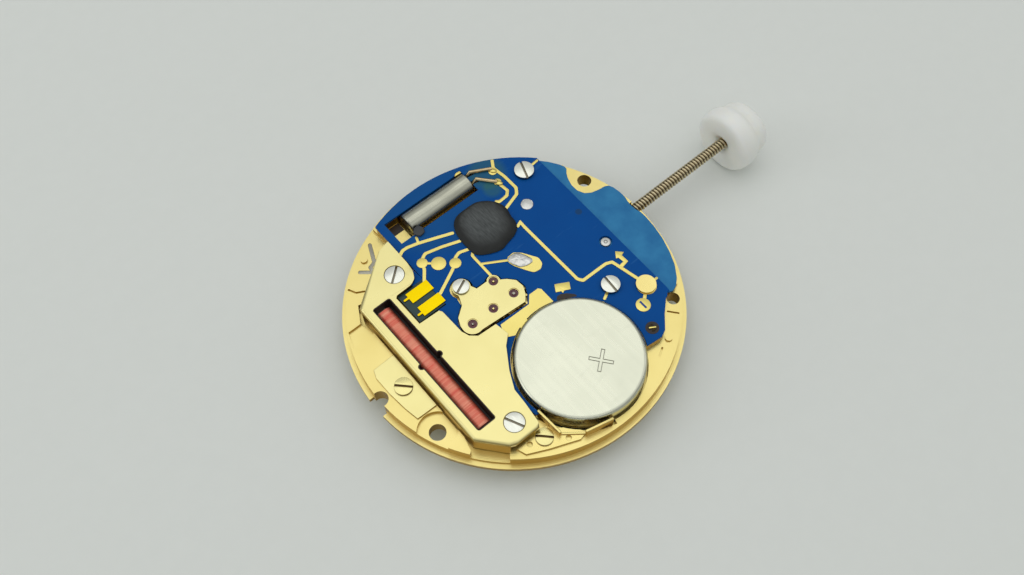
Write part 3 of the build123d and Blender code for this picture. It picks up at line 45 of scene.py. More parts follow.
weld, seamWeld, cornerWeld = 0.001 * mm, 0.0006 * mm, 0.002 * mm
print("stage: packed model loaded,", len(nodes), "nodes")


# Shader maths on sockets
class Level:
    def __init__(self, board, socket):
        self.board = board
        self.socket = socket

    def paired(self, operation, other):
        return self.board.add("ShaderNodeMath", {"operation": operation}, {0: self, 1: other})

    def __add__(self, other):
        return self.paired("ADD", other)

    def __mul__(self, other):
        return self.paired("MULTIPLY", other)


class Board:
    # a node tree that nodes are added to
    def __init__(self, tree):
        self.tree = tree

    def add(self, kind, settings, sockets, output=0):
        node = self.tree.nodes.new(kind)
        for name, value in settings.items():
            setattr(node, name, value)
        for name, value in sockets.items():
            if isinstance(value, Level):
                self.tree.links.new(value.socket, node.inputs[name])
            else:
                node.inputs[name].default_value = value
        return Level(self, node.outputs[output])


class Finish(Board):
    def __init__(self, name, **constants):
        self.material = bpy.data.materials.new(name)
        self.material.use_nodes = True
        super().__init__(self.material.node_tree)
        self.shader = self.tree.nodes["Principled BSDF"]
        for socket, value in constants.items():
            self.shader.inputs[socket.replace("_", " ")].default_value = value
        self.place = self.add("ShaderNodeTexCoord", {}, {}, "Object")

    def speckle(self, size, detail=3, stretch=(1, 1, 1), turn=0):
        # noise whose lumps are about size millimetres, longer along an axis with a stretch below 1
        spot = self.add("ShaderNodeMapping", {}, {0: self.place, 2: (0, 0, turn), 3: stretch})
        return self.add("ShaderNodeTexNoise", {}, {0: spot, 2: 1 / (size * mm), 3: detail})

    def between(self, level, low, high):
        return self.add("ShaderNodeMapRange", {}, {0: level, 1: low, 2: high})

    def mixed(self, mask, first, second):
        return self.add("ShaderNodeMix", {"data_type": "RGBA"}, {0: mask, 6: first, 7: second}, 2)

    def distanceFrom(self, x, y, z=0, axes=(1, 1, 0)):
        # distance from a line through the place, along the axis that is 0
        centre = (x * mm, y * mm, z * mm)
        offset = self.add("ShaderNodeVectorMath", {"operation": "SUBTRACT"}, {0: self.place, 1: centre})
        across = self.add("ShaderNodeVectorMath", {"operation": "MULTIPLY"}, {0: offset, 1: axes})
        return self.add("ShaderNodeVectorMath", {"operation": "LENGTH"}, {0: across}, 1)

    def patch(self, spot, outer, inner):
        # 1 inside the inner radius round a spot, 0 outside the outer one
        return self.between(self.distanceFrom(*spot), outer * mm, inner * mm)

    def walls(self):
        # 1 on upright faces, which are painted darker and deeper in colour as shade, 0 on flat ones
        facing = self.add("ShaderNodeNewGeometry", {}, {}, "Normal")
        upright = self.add("ShaderNodeSeparateXYZ", {}, {0: facing}, "Z")
        return self.between(self.add("ShaderNodeMath", {"operation": "ABSOLUTE"}, {0: upright}), 0.9, 0.3)

    def heightIn(self, low, high):
        level = self.add("ShaderNodeSeparateXYZ", {}, {0: self.place}, "Z")
        return self.between(level, low * mm, high * mm)

    def darkSlot(self, shade, floor, recessShade):
        # painted shade: a screw's slot darkens towards its floor
        return self.mixed(self.heightIn(floor + 0.07, floor + 0.02), shade, recessShade)

    def paint(self, colour, roughness, height, depth):
        bump = self.add("ShaderNodeBump", {}, {"Height": height, "Distance": depth * mm, "Strength": 1.0})
        for socket, level in (("Base Color", colour), ("Roughness", roughness), ("Normal", bump)):
            if level is not None:
                self.tree.links.new(level.socket, self.shader.inputs[socket])
        return self.material


# Gilt metals
giltLook = {
    "plate": (0.90, 0.77, 0.33, 1), "plateDeep": (0.80, 0.64, 0.21, 1),
    "sheet": (0.87, 0.79, 0.38, 1), "sheetDeep": (0.82, 0.72, 0.30, 1),
    "contact": (0.93, 0.80, 0.28, 1), "contactDeep": (0.84, 0.68, 0.18, 1),
    # the wall colour is painted shade for upright faces
    "wall": (0.42, 0.25, 0.04, 1),
    "tab": (1.0, 0.75, 0.006, 1), "tabDeep": (0.90, 0.60, 0.0, 1),
}


def giltMetal(name, colour, deep, grain, rough, depth=0.0012, slotFloor=None):
    finish = Finish(name, Metallic=1.0)
    cloud = finish.speckle(2.6, 3)
    grit = finish.speckle(grain, 4)
    shade = finish.mixed(cloud * 0.6 + grit * 0.3, giltLook[colour], giltLook[deep])
    # painted shade: upright faces take the deep wall colour
    shade = finish.mixed(finish.walls(), shade, giltLook["wall"])
    # painted shade in the slot of a gilt screw
    if slotFloor:
        shade = finish.darkSlot(shade, slotFloor, (0.10, 0.06, 0.02, 1))
    return finish.paint(shade, cloud * 0.12 + grit * 0.08 + (rough - 0.1), grit, depth)


def turnedGilt():
    # the plate: fine grained, with faint turning marks round its centre near the rim
    groove = 0.11 * mm
    finish = Finish("turnedGilt", Metallic=1.0)
    cloud = finish.speckle(3.2, 3)
    grit = finish.speckle(0.05, 4)
    radius = finish.distanceFrom(0, 0)
    rings = finish.add("ShaderNodeMath", {"operation": "SINE"}, {0: radius * (2 * pi / groove)})
    rim = finish.between(radius, 11.2 * mm, 12.2 * mm)
    shade = finish.mixed(cloud * 0.7 + grit * 0.25, giltLook["plate"], giltLook["plateDeep"])
    # painted shade: upright faces take the deep wall colour
    shade = finish.mixed(finish.walls(), shade, giltLook["wall"])
    return finish.paint(shade, cloud * 0.14 + grit * 0.08 + 0.2, grit + rings * rim * 0.5, 0.0014)


# Steels and other bare metals
def steelMetal(name, colour, deep, rough, stretch=(1, 1, 1), depth=0.0008, size=0.09, turn=0):
    finish = Finish(name, Metallic=1.0)
    brushed = finish.speckle(size, 4, stretch, turn)
    cloud = finish.speckle(1.7, 3)
    shade = finish.mixed(brushed * 0.7 + cloud * 0.3, colour, deep)
    return finish.paint(shade, brushed * 0.14 + cloud * 0.1 + (rough - 0.1), brushed, depth)


def screwMetal(name, slotFloor):
    # a polished head with fine lapping lines, with painted shade in its slot
    finish = Finish(name, Metallic=1.0)
    lapped = finish.speckle(0.16, 4, (1, 0.3, 1), 0.6)
    cloud = finish.speckle(1.1, 3)
    shade = finish.mixed(lapped * 0.6 + cloud * 0.3, (0.90, 0.91, 0.82, 1), (0.68, 0.69, 0.61, 1))
    # painted shade: the slot darkens towards its floor
    shade = finish.darkSlot(shade, slotFloor, (0.20, 0.18, 0.13, 1))
    return finish.paint(shade, lapped * 0.12 + cloud * 0.1 + 0.14, lapped, 0.001)


pinSpot = (8.14, -1.07)


def pinMetal():
    # the release pin's turned end: a bright dot and rim round a groove painted dark as shade
    finish = Finish("pinMetal", Metallic=1.0)
    lapped = finish.speckle(0.1, 4)
    # painted shade: a dark ring where the groove lies
    groove = finish.patch(pinSpot, 0.06, 0.1) * finish.patch(pinSpot, 0.18, 0.14)
    shade = finish.mixed(lapped, (0.78, 0.78, 0.74, 1), (0.50, 0.50, 0.48, 1))
    shade = finish.mixed(groove * 0.8, shade, (0.10, 0.10, 0.10, 1))
    return finish.paint(shade, lapped * 0.2 + 0.18, lapped, 0.001)


def boardPinMetal():
    # painted shade: dark in its recess, with a bright gilt bar across
    finish = Finish("boardPinMetal", Metallic=0.8)
    grit = finish.speckle(0.08, 3)
    bar = finish.mixed(grit, giltLook["contact"], giltLook["contactDeep"])
    # painted shade for the pin's head in its recess
    recessShade = finish.mixed(grit, (0.02, 0.016, 0.01, 1), (0.06, 0.045, 0.02, 1))
    shade = finish.mixed(finish.heightIn(1.93, 1.96), bar, recessShade)
    return finish.paint(shade, grit * 0.2 + 0.25, grit, 0.001)


stemHeight = 0.95


def stemMetal():
    # the threaded stem: pale on the ridges, painted dark in the grooves as shade
    finish = Finish("stemSteel", Metallic=1.0)
    grit = finish.speckle(0.12, 4, (1, 0.3, 1))
    cloud = finish.speckle(1.4, 3)
    radius = finish.distanceFrom(0, 0, stemHeight, (0, 1, 1))
    metal = finish.mixed(grit * 0.5 + cloud * 0.4, (0.80, 0.70, 0.46, 1), (0.50, 0.41, 0.24, 1))
    # painted shade: a dark colour in the thread's grooves
    shade = finish.mixed(finish.between(radius, 0.365 * mm, 0.43 * mm), (0.10, 0.065, 0.03, 1), metal)
    return finish.paint(shade, grit * 0.15 + cloud * 0.08 + 0.16, grit, 0.0015)


plusSpot = (1.1, -8.22)


def cellSkin():
    # the cell's can: satin nickel with faint straight rolling lines and small rub marks
    finish = Finish("cellSkin", Metallic=1.0)
    rolled = finish.speckle(0.3, 4, (1, 0.02, 1), radians(-38))
    cloud = finish.speckle(3.6, 2)
    rubbed = finish.between(finish.speckle(0.5, 5, (0.25, 1, 1), radians(20)), 0.6, 0.75)
    shade = finish.mixed(cloud * 0.6 + rolled * 0.3, (0.80, 0.81, 0.66, 1), (0.64, 0.655, 0.53, 1))
    # darker at the floor of the stamped plus
    stamped = finish.heightIn(2.462, 2.45) * finish.patch(plusSpot, 1.5, 1.3)
    shade = finish.mixed(stamped * 0.75, shade, (0.16, 0.15, 0.12, 1))
    rough = cloud * 0.12 + rolled * 0.1 + rubbed * 0.06 + 0.16
    return finish.paint(shade, rough, rolled + rubbed * 0.3, 0.00018)


def magnetMetal():
    finish = Finish("magnetMetal", Metallic=0.7)
    grit = finish.speckle(0.04, 5)
    shade = finish.mixed(grit, (0.05, 0.05, 0.055, 1), (0.14, 0.14, 0.14, 1))
    return finish.paint(shade, grit * 0.2 + 0.4, grit, 0.003)


# Lacquers, films and resins
boardMarks = {
    "wires": [((5.3, 9.6), 1.75, 1.15), ((4.7, 8.1), 0.9, 0.5)],
    "slot": ((0.2, 9.9), 4.6, 3.6),
    "rivet": ((8.36, 2.22), 0.29, 0.24),
}


def boardLacquer():
    # deep blue solder lacquer: greener over the crystal's wires, with a few rub marks
    finish = Finish("boardLacquer", IOR=1.5, Specular_IOR_Level=0.06)
    cloud = finish.speckle(2.2, 4)
    fine = finish.speckle(0.06, 3)
    rubs = finish.between(finish.speckle(0.42, 5, (0.16, 1, 1), radians(32)), 0.66, 0.76)
    blue = finish.mixed(cloud, (0.002, 0.068, 0.29, 1), (0.003, 0.085, 0.34, 1))
    worn = finish.mixed(rubs * 0.22, blue, (0.05, 0.2, 0.48, 1))
    first, second = [finish.patch(*mark) for mark in boardMarks["wires"]]
    wires = first + second
    slot = finish.patch(*boardMarks["slot"]) * 0.16
    rivet = finish.patch(*boardMarks["rivet"])
    shade = finish.mixed(wires * 0.62 + slot, worn, (0.035, 0.14, 0.17, 1))
    shade = finish.mixed(rivet * 0.7, shade, (0.02, 0.06, 0.13, 1))
    rough = cloud * 0.12 + fine * 0.06 + rubs * 0.15 + 0.26
    return finish.paint(shade, rough, fine + cloud * 2, 0.0011)


def crescentLacquer():
    # the thinner lacquer of the sheet over the winding works lets the metal show through
    finish = Finish("crescentLacquer", Metallic=0.3, IOR=1.5, Specular_IOR_Level=0.2)
    cloud = finish.speckle(1.5, 4)
    fine = finish.speckle(0.07, 3)
    shade = finish.mixed(finish.between(cloud, 0.3, 0.7), (0.018, 0.15, 0.36, 1), (0.035, 0.22, 0.45, 1))
    return finish.paint(shade, cloud * 0.2 + 0.26, fine + cloud * 4, 0.0013)


def terminalLaminate():
    finish = Finish("terminalLaminate", IOR=1.5)
    cloud = finish.speckle(0.8, 4)
    weave = finish.speckle(0.06, 2)
    shade = finish.mixed(cloud, (0.004, 0.022, 0.022, 1), (0.022, 0.075, 0.07, 1))
    return finish.paint(shade, weave * 0.15 + 0.3, weave, 0.002)


def castResin():
    # dark resin, streaked on its crown, where a lighter grey is painted as sheen
    finish = Finish("castResin", IOR=1.5, Specular_IOR_Level=0.35)
    lumps = finish.speckle(0.9, 4)
    grain = finish.speckle(0.1, 4, (1, 0.16, 1), radians(40))
    shade = finish.mixed(lumps * 0.5 + grain * 0.5, (0.006, 0.007, 0.007, 1), (0.022, 0.024, 0.023, 1))
    streaks = finish.between(grain * 0.7 + lumps * 0.3, 0.3, 0.7)
    # painted sheen: a lighter, streaked grey on the resin's crown
    top = finish.mixed(streaks, (0.035, 0.04, 0.04, 1), (0.11, 0.12, 0.12, 1))
    crownSheen = finish.patch((2.05, 6.1), 2.3, 1.0)
    shade = finish.mixed(finish.heightIn(2.28, 2.375) * crownSheen, shade, top)
    return finish.paint(shade, grain * 0.2 + 0.5, lumps * 1.4 + grain, 0.008)


def filmInsulator():
    finish = Finish("filmInsulator", IOR=1.5)
    cloud = finish.speckle(1.0, 3)
    shade = finish.mixed(cloud, (0.02, 0.025, 0.03, 1), (0.05, 0.055, 0.06, 1))
    return finish.paint(shade, cloud * 0.2 + 0.35, cloud, 0.002)


def windingEnamel():
    # coral enamel on copper wire, with painted highlights in bands on groups of turns and lighter patches,
    # and painted shade down its sides
    finish = Finish("windingEnamel", Metallic=0.35, Specular_IOR_Level=0.8, Coat_Roughness=0.3,
                    Coat_Weight=0.5)
    groups = finish.speckle(0.26, 3, (0.02, 1, 0.02))
    thin = finish.speckle(0.09, 2, (0.05, 1, 0.05))
    patches = finish.speckle(0.9, 3, (0.6, 1, 1))
    # painted highlight: lighter coral in bands across the turns
    turnHighlight = finish.between(groups * 0.55 + thin * 0.45, 0.38, 0.62)
    coral = finish.mixed(turnHighlight, (0.86, 0.12, 0.07, 1), (1.0, 0.40, 0.25, 1))
    shade = finish.mixed(finish.between(patches, 0.45, 0.75) * 0.4, coral, (1.0, 0.56, 0.38, 1))
    # painted shade: darker red down the sides of the winding
    shade = finish.mixed(finish.heightIn(1.92, 1.78) * 0.6, shade, (0.55, 0.05, 0.025, 1))
    return finish.paint(shade, groups * 0.2 + 0.24, thin, 0.004)


def rubyJewel():
    finish = Finish("rubyJewel", IOR=1.76, Specular_IOR_Level=0.3, Coat_Weight=0.25, Coat_Roughness=0.05)
    cloud = finish.speckle(0.5, 3)
    shade = finish.mixed(cloud, (0.07, 0.012, 0.02, 1), (0.17, 0.045, 0.055, 1))
    return finish.paint(shade, cloud * 0.12 + 0.1, cloud, 0.0006)


def dateLacquer():
    finish = Finish("dateLacquer", IOR=1.5)
    grain = finish.speckle(0.08, 3)
    shade = finish.mixed(grain, (0.80, 0.80, 0.77, 1), (0.90, 0.90, 0.87, 1))
    return finish.paint(shade, grain * 0.15 + 0.35, grain, 0.0008)


def mouldedNylon():
    # milky plastic that light passes into
    finish = Finish("mouldedNylon", IOR=1.53, Subsurface_Weight=0.6, Subsurface_Scale=2 * mm)
    finish.shader.inputs["Subsurface Radius"].default_value = (1.0, 0.9, 0.75)
    cloud = finish.speckle(2.2, 3)
    skin = finish.speckle(0.22, 4)
    shade = finish.mixed(cloud, (0.86, 0.87, 0.81, 1), (0.93, 0.93, 0.89, 1))
    return finish.paint(shade, skin * 0.2 + 0.34, skin + cloud * 2, 0.006)


def printInk(name, colour, deep):
    finish = Finish(name, IOR=1.5)
    grain = finish.speckle(0.07, 3)
    return finish.paint(finish.mixed(grain, colour, deep), grain * 0.15 + 0.4, grain, 0.001)


finishes = {
    "gilt_brass": giltMetal("giltBrass", "plate", "plateDeep", 0.06, 0.27),
    "gilt_sheet": giltMetal("giltSheet", "sheet", "sheetDeep", 0.045, 0.3),
    "steel": steelMetal("groundSteel", (0.52, 0.50, 0.42, 1), (0.27, 0.25, 0.20, 1), 0.28,
                        (1, 0.12, 1)),
    "screw_steel": steelMetal("screwSteel", (0.84, 0.85, 0.76, 1), (0.60, 0.61, 0.54, 1), 0.24, (1, 0.3, 1),
                              0.001, 0.16, 0.6),
    "cell_steel": cellSkin(),
    "can_metal": steelMetal("crystalCan", (0.80, 0.80, 0.66, 1), (0.14, 0.14, 0.11, 1), 0.26, (0.05, 1, 1),
                            0.0016, 0.2),
    "solder": steelMetal("solderTin", (0.88, 0.88, 0.85, 1), (0.42, 0.42, 0.41, 1), 0.22, depth=0.006,
                         size=0.3),
    "wire_enamel": windingEnamel(),
    "magnet": magnetMetal(),
    "board": boardLacquer(),
    "terminal": terminalLaminate(),
    "trace_gold": giltMetal("traceGold", "contact", "contactDeep", 0.05, 0.36),
    "tab_gold": giltMetal("tabGold", "tab", "tabDeep", 0.09, 0.36, 0.003),
    "resin": castResin(),
    "ruby": rubyJewel(),
    "insulator": filmInsulator(),
    "date_white": dateLacquer(),
    "knob_plastic": mouldedNylon(),
    "plateTurned": turnedGilt(),
    "crescent": crescentLacquer(),
    "stem": stemMetal(),
    "clampScrew": giltMetal("clampScrew", "sheet", "sheetDeep", 0.045, 0.26, 0.0012, 1.54),
    "fixingScrew": giltMetal("fixingScrew", "sheet", "sheetDeep", 0.045, 0.26, 0.0012, 1.49),
    "releasePin": pinMetal(),
    "boardPin": boardPinMetal(),
    "bridgeScrew": screwMetal("bridgeScrew", 2.21),
    "coverScrew": screwMetal("coverScrew", 2.15),
    "boardScrew": screwMetal("boardScrew", 2.13),
    "leadWire": steelMetal("leadWire", (0.86, 0.74, 0.46, 1), (0.42, 0.27, 0.12, 1), 0.2, depth=0.003,
                           size=0.3),
    # near-black sheets that stand for painted shade
    "liner": printInk("liner", (0.014, 0.008, 0.006, 1), (0.035, 0.02, 0.014, 1)),
    "inkBlue": printInk("inkBlue", (0.004, 0.05, 0.26, 1), (0.008, 0.07, 0.33, 1)),
    "inkBlack": printInk("inkBlack", (0.012, 0.012, 0.013, 1), (0.03, 0.03, 0.03, 1)),
    "darkResin": printInk("darkResin", (0.02, 0.022, 0.025, 1), (0.06, 0.065, 0.07, 1)),
}

slotOf = {entry["node"]: entry["material_slot"] for entry in frame["record"]["subparts"]}
ownFinish = {
    "main_plate": "plateTurned", "keyless_cover": "crescent", "winding_stem": "stem",
    "bridge_screw": "bridgeScrew", "cover_screws": "coverScrew", "board_screws": "boardScrew",
    "release_pin": "releasePin", "board_pin": "boardPin",
    "clamp_screw": "clampScrew", "fixing_plate_screw": "fixingScrew",
}
for name, node in nodes.items():
    node.data.materials.clear()
    node.data.materials.append(finishes[ownFinish.get(name, slotOf[name])])
bodyOf = {name: body for body, names in frame["record"]["behaviour"]["bodies"].items() for name in names}
print("stage: finishes ready")


# Workshop helpers
def pickOnly(piece):
    bpy.ops.object.select_all(action="DESELECT")
    piece.select_set(True)
    bpy.context.view_layer.objects.active = piece


def edit(piece, mode="FACE"):
    pickOnly(piece)
    bpy.ops.object.mode_set(mode="EDIT")
    bpy.ops.mesh.select_mode(type=mode)


def leave():
    bpy.ops.object.mode_set(mode="OBJECT")


def pickMesh(action="SELECT"):
    bpy.ops.mesh.select_all(action=action)


def closeUp():
    # all faces look outward, and the piece leaves edit mode
    pickMesh()
    bpy.ops.mesh.normals_make_consistent(inside=False)
    leave()


def facesUp(face):
    return face.normal.z > 0.9


def chooseFaces(piece, fits):
    edit(piece, "FACE")
    pickMesh("DESELECT")
    leave()
    for face in piece.data.polygons:
        face.select = fits(face)
    edit(piece, "FACE")


def chooseEdges(piece, fits):
    # edges whose two ends, in millimetres, fit
    edit(piece, "EDGE")
    pickMesh("DESELECT")
    leave()
    for edge in piece.data.edges:
        edge.select = fits(*[piece.data.vertices[i].co / mm for i in edge.vertices])
    edit(piece, "EDGE")


def extruded(x, y, z, edges=False):
    tool = bpy.ops.mesh.extrude_edges_move if edges else bpy.ops.mesh.extrude_region_move
    tool(TRANSFORM_OT_translate={"value": (x * mm, y * mm, z * mm)})


def applied(piece, kind, **settings):
    pickOnly(piece)
    modifier = piece.modifiers.new(kind, kind)
    for name, value in settings.items():
        setattr(modifier, name, value)
    bpy.ops.object.modifier_apply(modifier=modifier.name)


def lumpy(piece, name, size, strength, middle):
    # a cloud of lumps pushes the surface in and out
    clouds = bpy.data.textures.new(name, "CLOUDS")
    clouds.noise_scale = size * mm
    applied(piece, "DISPLACE", texture=clouds, texture_coords="LOCAL", strength=strength * mm,
            mid_level=middle)


def settle(piece):
    # put the piece's place into its mesh
    pickOnly(piece)
    bpy.ops.object.transform_apply(location=True, rotation=True, scale=True)


def named(name):
    piece = bpy.context.view_layer.objects.active
    piece.name = name
    piece.data.name = name
    return piece


def dress(piece, body, slotName, finishName=None, replaced=(), angle=50, crisp=True):
    pickOnly(piece)
    bpy.ops.object.shade_smooth_by_angle(angle=radians(angle))
    if crisp:
        # flat faces stay flat between their rounded edges
        applied(piece, "WEIGHTED_NORMAL", keep_sharp=True)
    piece.data.materials.clear()
    piece.data.materials.append(finishes[finishName or slotName])
    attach(piece, body)
    if replaced:
        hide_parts(*replaced)


def mergedCopy(nodeName, pieceName):
    mesh = nodes[nodeName].data.copy()
    piece = bpy.data.objects.new(pieceName, mesh)
    bpy.context.scene.collection.objects.link(piece)
    pickOnly(piece)
    if mesh.has_custom_normals:
        bpy.ops.mesh.customdata_custom_splitnormals_clear()
    edit(piece)
    pickMesh()
    bpy.ops.mesh.remove_doubles(threshold=seamWeld)
    bpy.ops.mesh.dissolve_limited(angle_limit=radians(0.4))
    leave()
    return piece


sharpAngle = 32


def bevelEdges(piece, width, steps=2, angle=sharpAngle):
    applied(piece, "BEVEL", width=width * mm, segments=steps, limit_method="ANGLE",
            angle_limit=radians(angle), use_clamp_overlap=False)


def bevelAway(piece, width, places, near):
    # sharp edges are rounded, except those near the places
    edit(piece, "EDGE")
    pickMesh("DESELECT")
    bpy.ops.mesh.edges_select_sharp(sharpness=radians(sharpAngle))
    leave()
    for edge in piece.data.edges:
        first, second = [piece.data.vertices[i].co for i in edge.vertices]
        middle = (first + second).xy / 2 / mm
        if any((middle - Vector(place)).length < near for place in places):
            edge.select = False
    edit(piece, "EDGE")
    bpy.ops.mesh.bevel(offset=width * mm, segments=2)
    leave()


def roundCorners(piece, places, near, radius):
    # upright edges near the places get a radius
    def fits(low, high):
        upright = (low - high).xy.length < 0.001
        return upright and any((low.xy - Vector(place)).length < near for place in places)

    chooseEdges(piece, fits)
    bpy.ops.mesh.bevel(offset=radius * mm, segments=6)
    leave()


def flat(name, outline, height):
    # one face with the outline's corners
    bpy.ops.mesh.primitive_circle_add(vertices=len(outline), radius=1 * mm, fill_type="NGON",
                                      location=(0, 0, 0))
    piece = named(name)
    for vertex, (x, y) in zip(piece.data.vertices, outline):
        vertex.co = (x * mm, y * mm, height * mm)
    return piece


def prism(name, outline, low, high, corner=0, edge=0):
    # a flat outline raised between two heights, its corners and edges rounded
    block = flat(name, outline, low)
    edit(block, "VERT")
    pickMesh()
    if corner:
        bpy.ops.mesh.bevel(offset=corner * mm, segments=4, affect="VERTICES", clamp_overlap=True)
        pickMesh()
        bpy.ops.mesh.remove_doubles(threshold=cornerWeld)
        pickMesh()
    bpy.ops.mesh.select_mode(type="FACE")
    extruded(0, 0, high - low)
    closeUp()
    if edge:
        bevelEdges(block, edge)
    return block


def ribbonOutline(points, width):
    # both sides of a line of an even width
    left, right = [], []
    for i, point in enumerate(points):
        here = Vector(point)
        runs = [(here - Vector(points[i - 1])).normalized()] if i else []
        if i < len(points) - 1:
            runs.append((Vector(points[i + 1]) - here).normalized())
        along = sum(runs, Vector((0, 0))).normalized()
        across = Vector((-along.y, along.x))
        slant = across.dot(Vector((-runs[0].y, runs[0].x)))
        reach = width / 2 / max(0.6, slant)
        left.append(tuple(here + across * reach))
        right.append(tuple(here - across * reach))
    return left + right[::-1]


def ringOutline(x, y, radius, count=32):
    turns = [2 * pi * i / count for i in range(count)]
    return [(x + radius * cos(turn), y + radius * sin(turn)) for turn in turns]


def joined(name, pieces):
    pickOnly(pieces[0])
    for piece in pieces[1:]:
        piece.select_set(True)
    bpy.ops.object.join()
    return named(name)


# CAD parts whose edges the light catches: the same form with small rounded edges
jewelSpots = [(-3.859, 0), (-1.93, 0), (0, 0), (-0.499, 1.729)]
keepSharp = 0.62
boardCorners = {"places": [(5.1, -9.4), (9.21, -7.3)], "near": 0.45, "radius": 0.4}
edgeWidths = {
    "train_bridge": 0.03, "bridge_screw": 0.015, "cover_screws": 0.015, "board_screws": 0.02,
    "fixing_plate": 0.03, "fixing_plate_screw": 0.015, "clamp_screw": 0.015,
    "circuit_board": 0.02, "ground_spring": 0.03, "coil_contacts": 0.02,
    "positive_strip": 0.006, "board_pin": 0.015, "release_pin": 0.04, "coil_terminal": 0.02,
}
for nodeName, width in edgeWidths.items():
    words = nodeName.split("_")
    piece = mergedCopy(nodeName, words[0] + "".join(word.capitalize() for word in words[1:]))
    if nodeName == "circuit_board":
        roundCorners(piece, **boardCorners)
    if nodeName == "train_bridge":
        bevelAway(piece, width, jewelSpots, keepSharp)
    else:
        bevelEdges(piece, width)
    dress(piece, bodyOf[nodeName], slotOf[nodeName], ownFinish.get(nodeName), [nodeName])
print("stage: edges rounded on", len(edgeWidths), "parts")

# Coil cover: its folded side has a wide round edge, the rest a narrow one
coverLook = {
    "fold": 0.3, "foldSteps": 6, "edge": 0.025, "top": 2.3,
    "left": -9.05, "low": -8.95, "right": -5.35, "slant": (0.757, 0.653, -11.55),
    "window": {
        "places": [(-8.76, -6.68), (-7.18, -6.68), (-7.18, 5.53), (-8.76, 5.53)], "near": 0.15, "radius": 0.2,
    },
    "terminal": {"places": [(-4.54, 6.14), (-4.72, 5.74), (-5.17, 5.41)], "near": 0.35, "radius": 0.17},
}
cover = mergedCopy("coil_cover", "coilCover")
roundCorners(cover, **coverLook["window"])
roundCorners(cover, **coverLook["terminal"])


def onFold(*ends):
    shareX, shareY, limit = coverLook["slant"]
    outer = [p.x < coverLook["left"] or p.y < coverLook["low"] or shareX * p.x + shareY * p.y < limit
             for p in ends]
    level = [abs(p.z - coverLook["top"]) < 0.01 for p in ends]
    return all(outer) and all(level) and (ends[0].x + ends[1].x) / 2 < coverLook["right"]


chooseEdges(cover, onFold)
bpy.ops.mesh.bevel(offset=coverLook["fold"] * mm, segments=coverLook["foldSteps"], profile=0.5)
leave()
bevelEdges(cover, coverLook["edge"])
dress(cover, "movement", "gilt_sheet", replaced=["coil_cover"])

# Coil window: a dark sheet round its walls, painted shade
windowShadeLook = {
    "x": (-8.755, -7.185), "y": (-6.675, 5.525), "bump": 0.25, "bumpY": -0.35, "steps": 8,
    "wall": 0.07, "low": 1.2, "top": 2.285, "sheet": 0.01,
}
(left, right), (bottom, top) = windowShadeLook["x"], windowShadeLook["y"]
bumpY = windowShadeLook["bumpY"]
turns = [pi * i / windowShadeLook["steps"] for i in range(windowShadeLook["steps"] + 1)]
arc = [(windowShadeLook["bump"] * sin(turn), -windowShadeLook["bump"] * cos(turn)) for turn in turns]
window = [(left, bottom), (right, bottom)] + [(right + u, bumpY + v) for u, v in arc]
window += [(right, top), (left, top)] + [(left - u, bumpY - v) for u, v in arc]
liner = flat("coilLiner", window, windowShadeLook["low"])
edit(liner, "FACE")
pickMesh()
bpy.ops.mesh.inset(thickness=windowShadeLook["wall"] * mm, depth=0)
pickMesh("INVERT")
extruded(0, 0, windowShadeLook["top"] - windowShadeLook["low"])
pickMesh()
bpy.ops.mesh.remove_doubles(threshold=weld)
closeUp()
applied(liner, "SOLIDIFY", thickness=windowShadeLook["sheet"] * mm)
dress(liner, "movement", "insulator", "liner")
print("stage: coil cover folded and lined")

# Bridge jewels: one ring, set four times
jewelLook = {
    "radius": 0.365, "low": 1.86, "top": 2.055, "edge": 0.008,
    "rings": [(0.03, 0.012), (0.09, 0), (0.03, -0.04), (0.105, 0), (0.02, -0.1)],
}
jewels = []
for x, y in jewelSpots:
    low, top = jewelLook["low"], jewelLook["top"]
    bpy.ops.mesh.primitive_cylinder_add(vertices=40, radius=jewelLook["radius"] * mm, depth=(top - low) * mm,
                                        location=(x * mm, y * mm, (low + top) / 2 * mm))
    jewel = named("jewel")
    settle(jewel)
    chooseFaces(jewel, facesUp)
    for inward, upward in jewelLook["rings"]:
        bpy.ops.mesh.inset(thickness=inward * mm, depth=upward * mm)
    leave()
    bevelEdges(jewel, jewelLook["edge"])
    jewels.append(jewel)
jewels = joined("bridgeJewels", jewels)
dress(jewels, "movement", "ruby", replaced=["bridge_jewels"])
print("stage: jewels set")

# Keyless cover: the lighter crescent at the stem's side
crescentLook = {
    "outline": [
        (8.2, 7.9), (9.3, 7.86), (9.78, 7.3), (10.22, 6.61), (10.42, 6.2), (10.42, 5.92), (10.1, 5.56),
        (9.88, 5.14), (9.69, 4.51), (9.69, 3.84), (9.94, 3.3), (10.39, 2.98), (11.0, 2.82), (11.53, 2.75),
        (11.84, 2.6), (12.01, 2.22), (12.09, 1.57), (12.09, 0.98), (11.97, 0.6), (11.91, 0.17),
        (11.93, -0.36), (12.06, -0.83), (12.05, -1.4), (11.94, -2.39), (11.68, -3.59), (11.26, -4.79),
        (10.77, -5.82), (10.12, -6.7), (9.6, -7.15), (9.13, -7.3), (8.7, -7.1), (7.6, -4.5), (7.5, 5.5),
    ],
    "low": 1.56, "high": 1.75, "corner": 0.08, "edge": 0.035,
}
crescent = prism("keylessCover", **crescentLook)
dress(crescent, "movement", "board", "crescent", ["keyless_cover"])

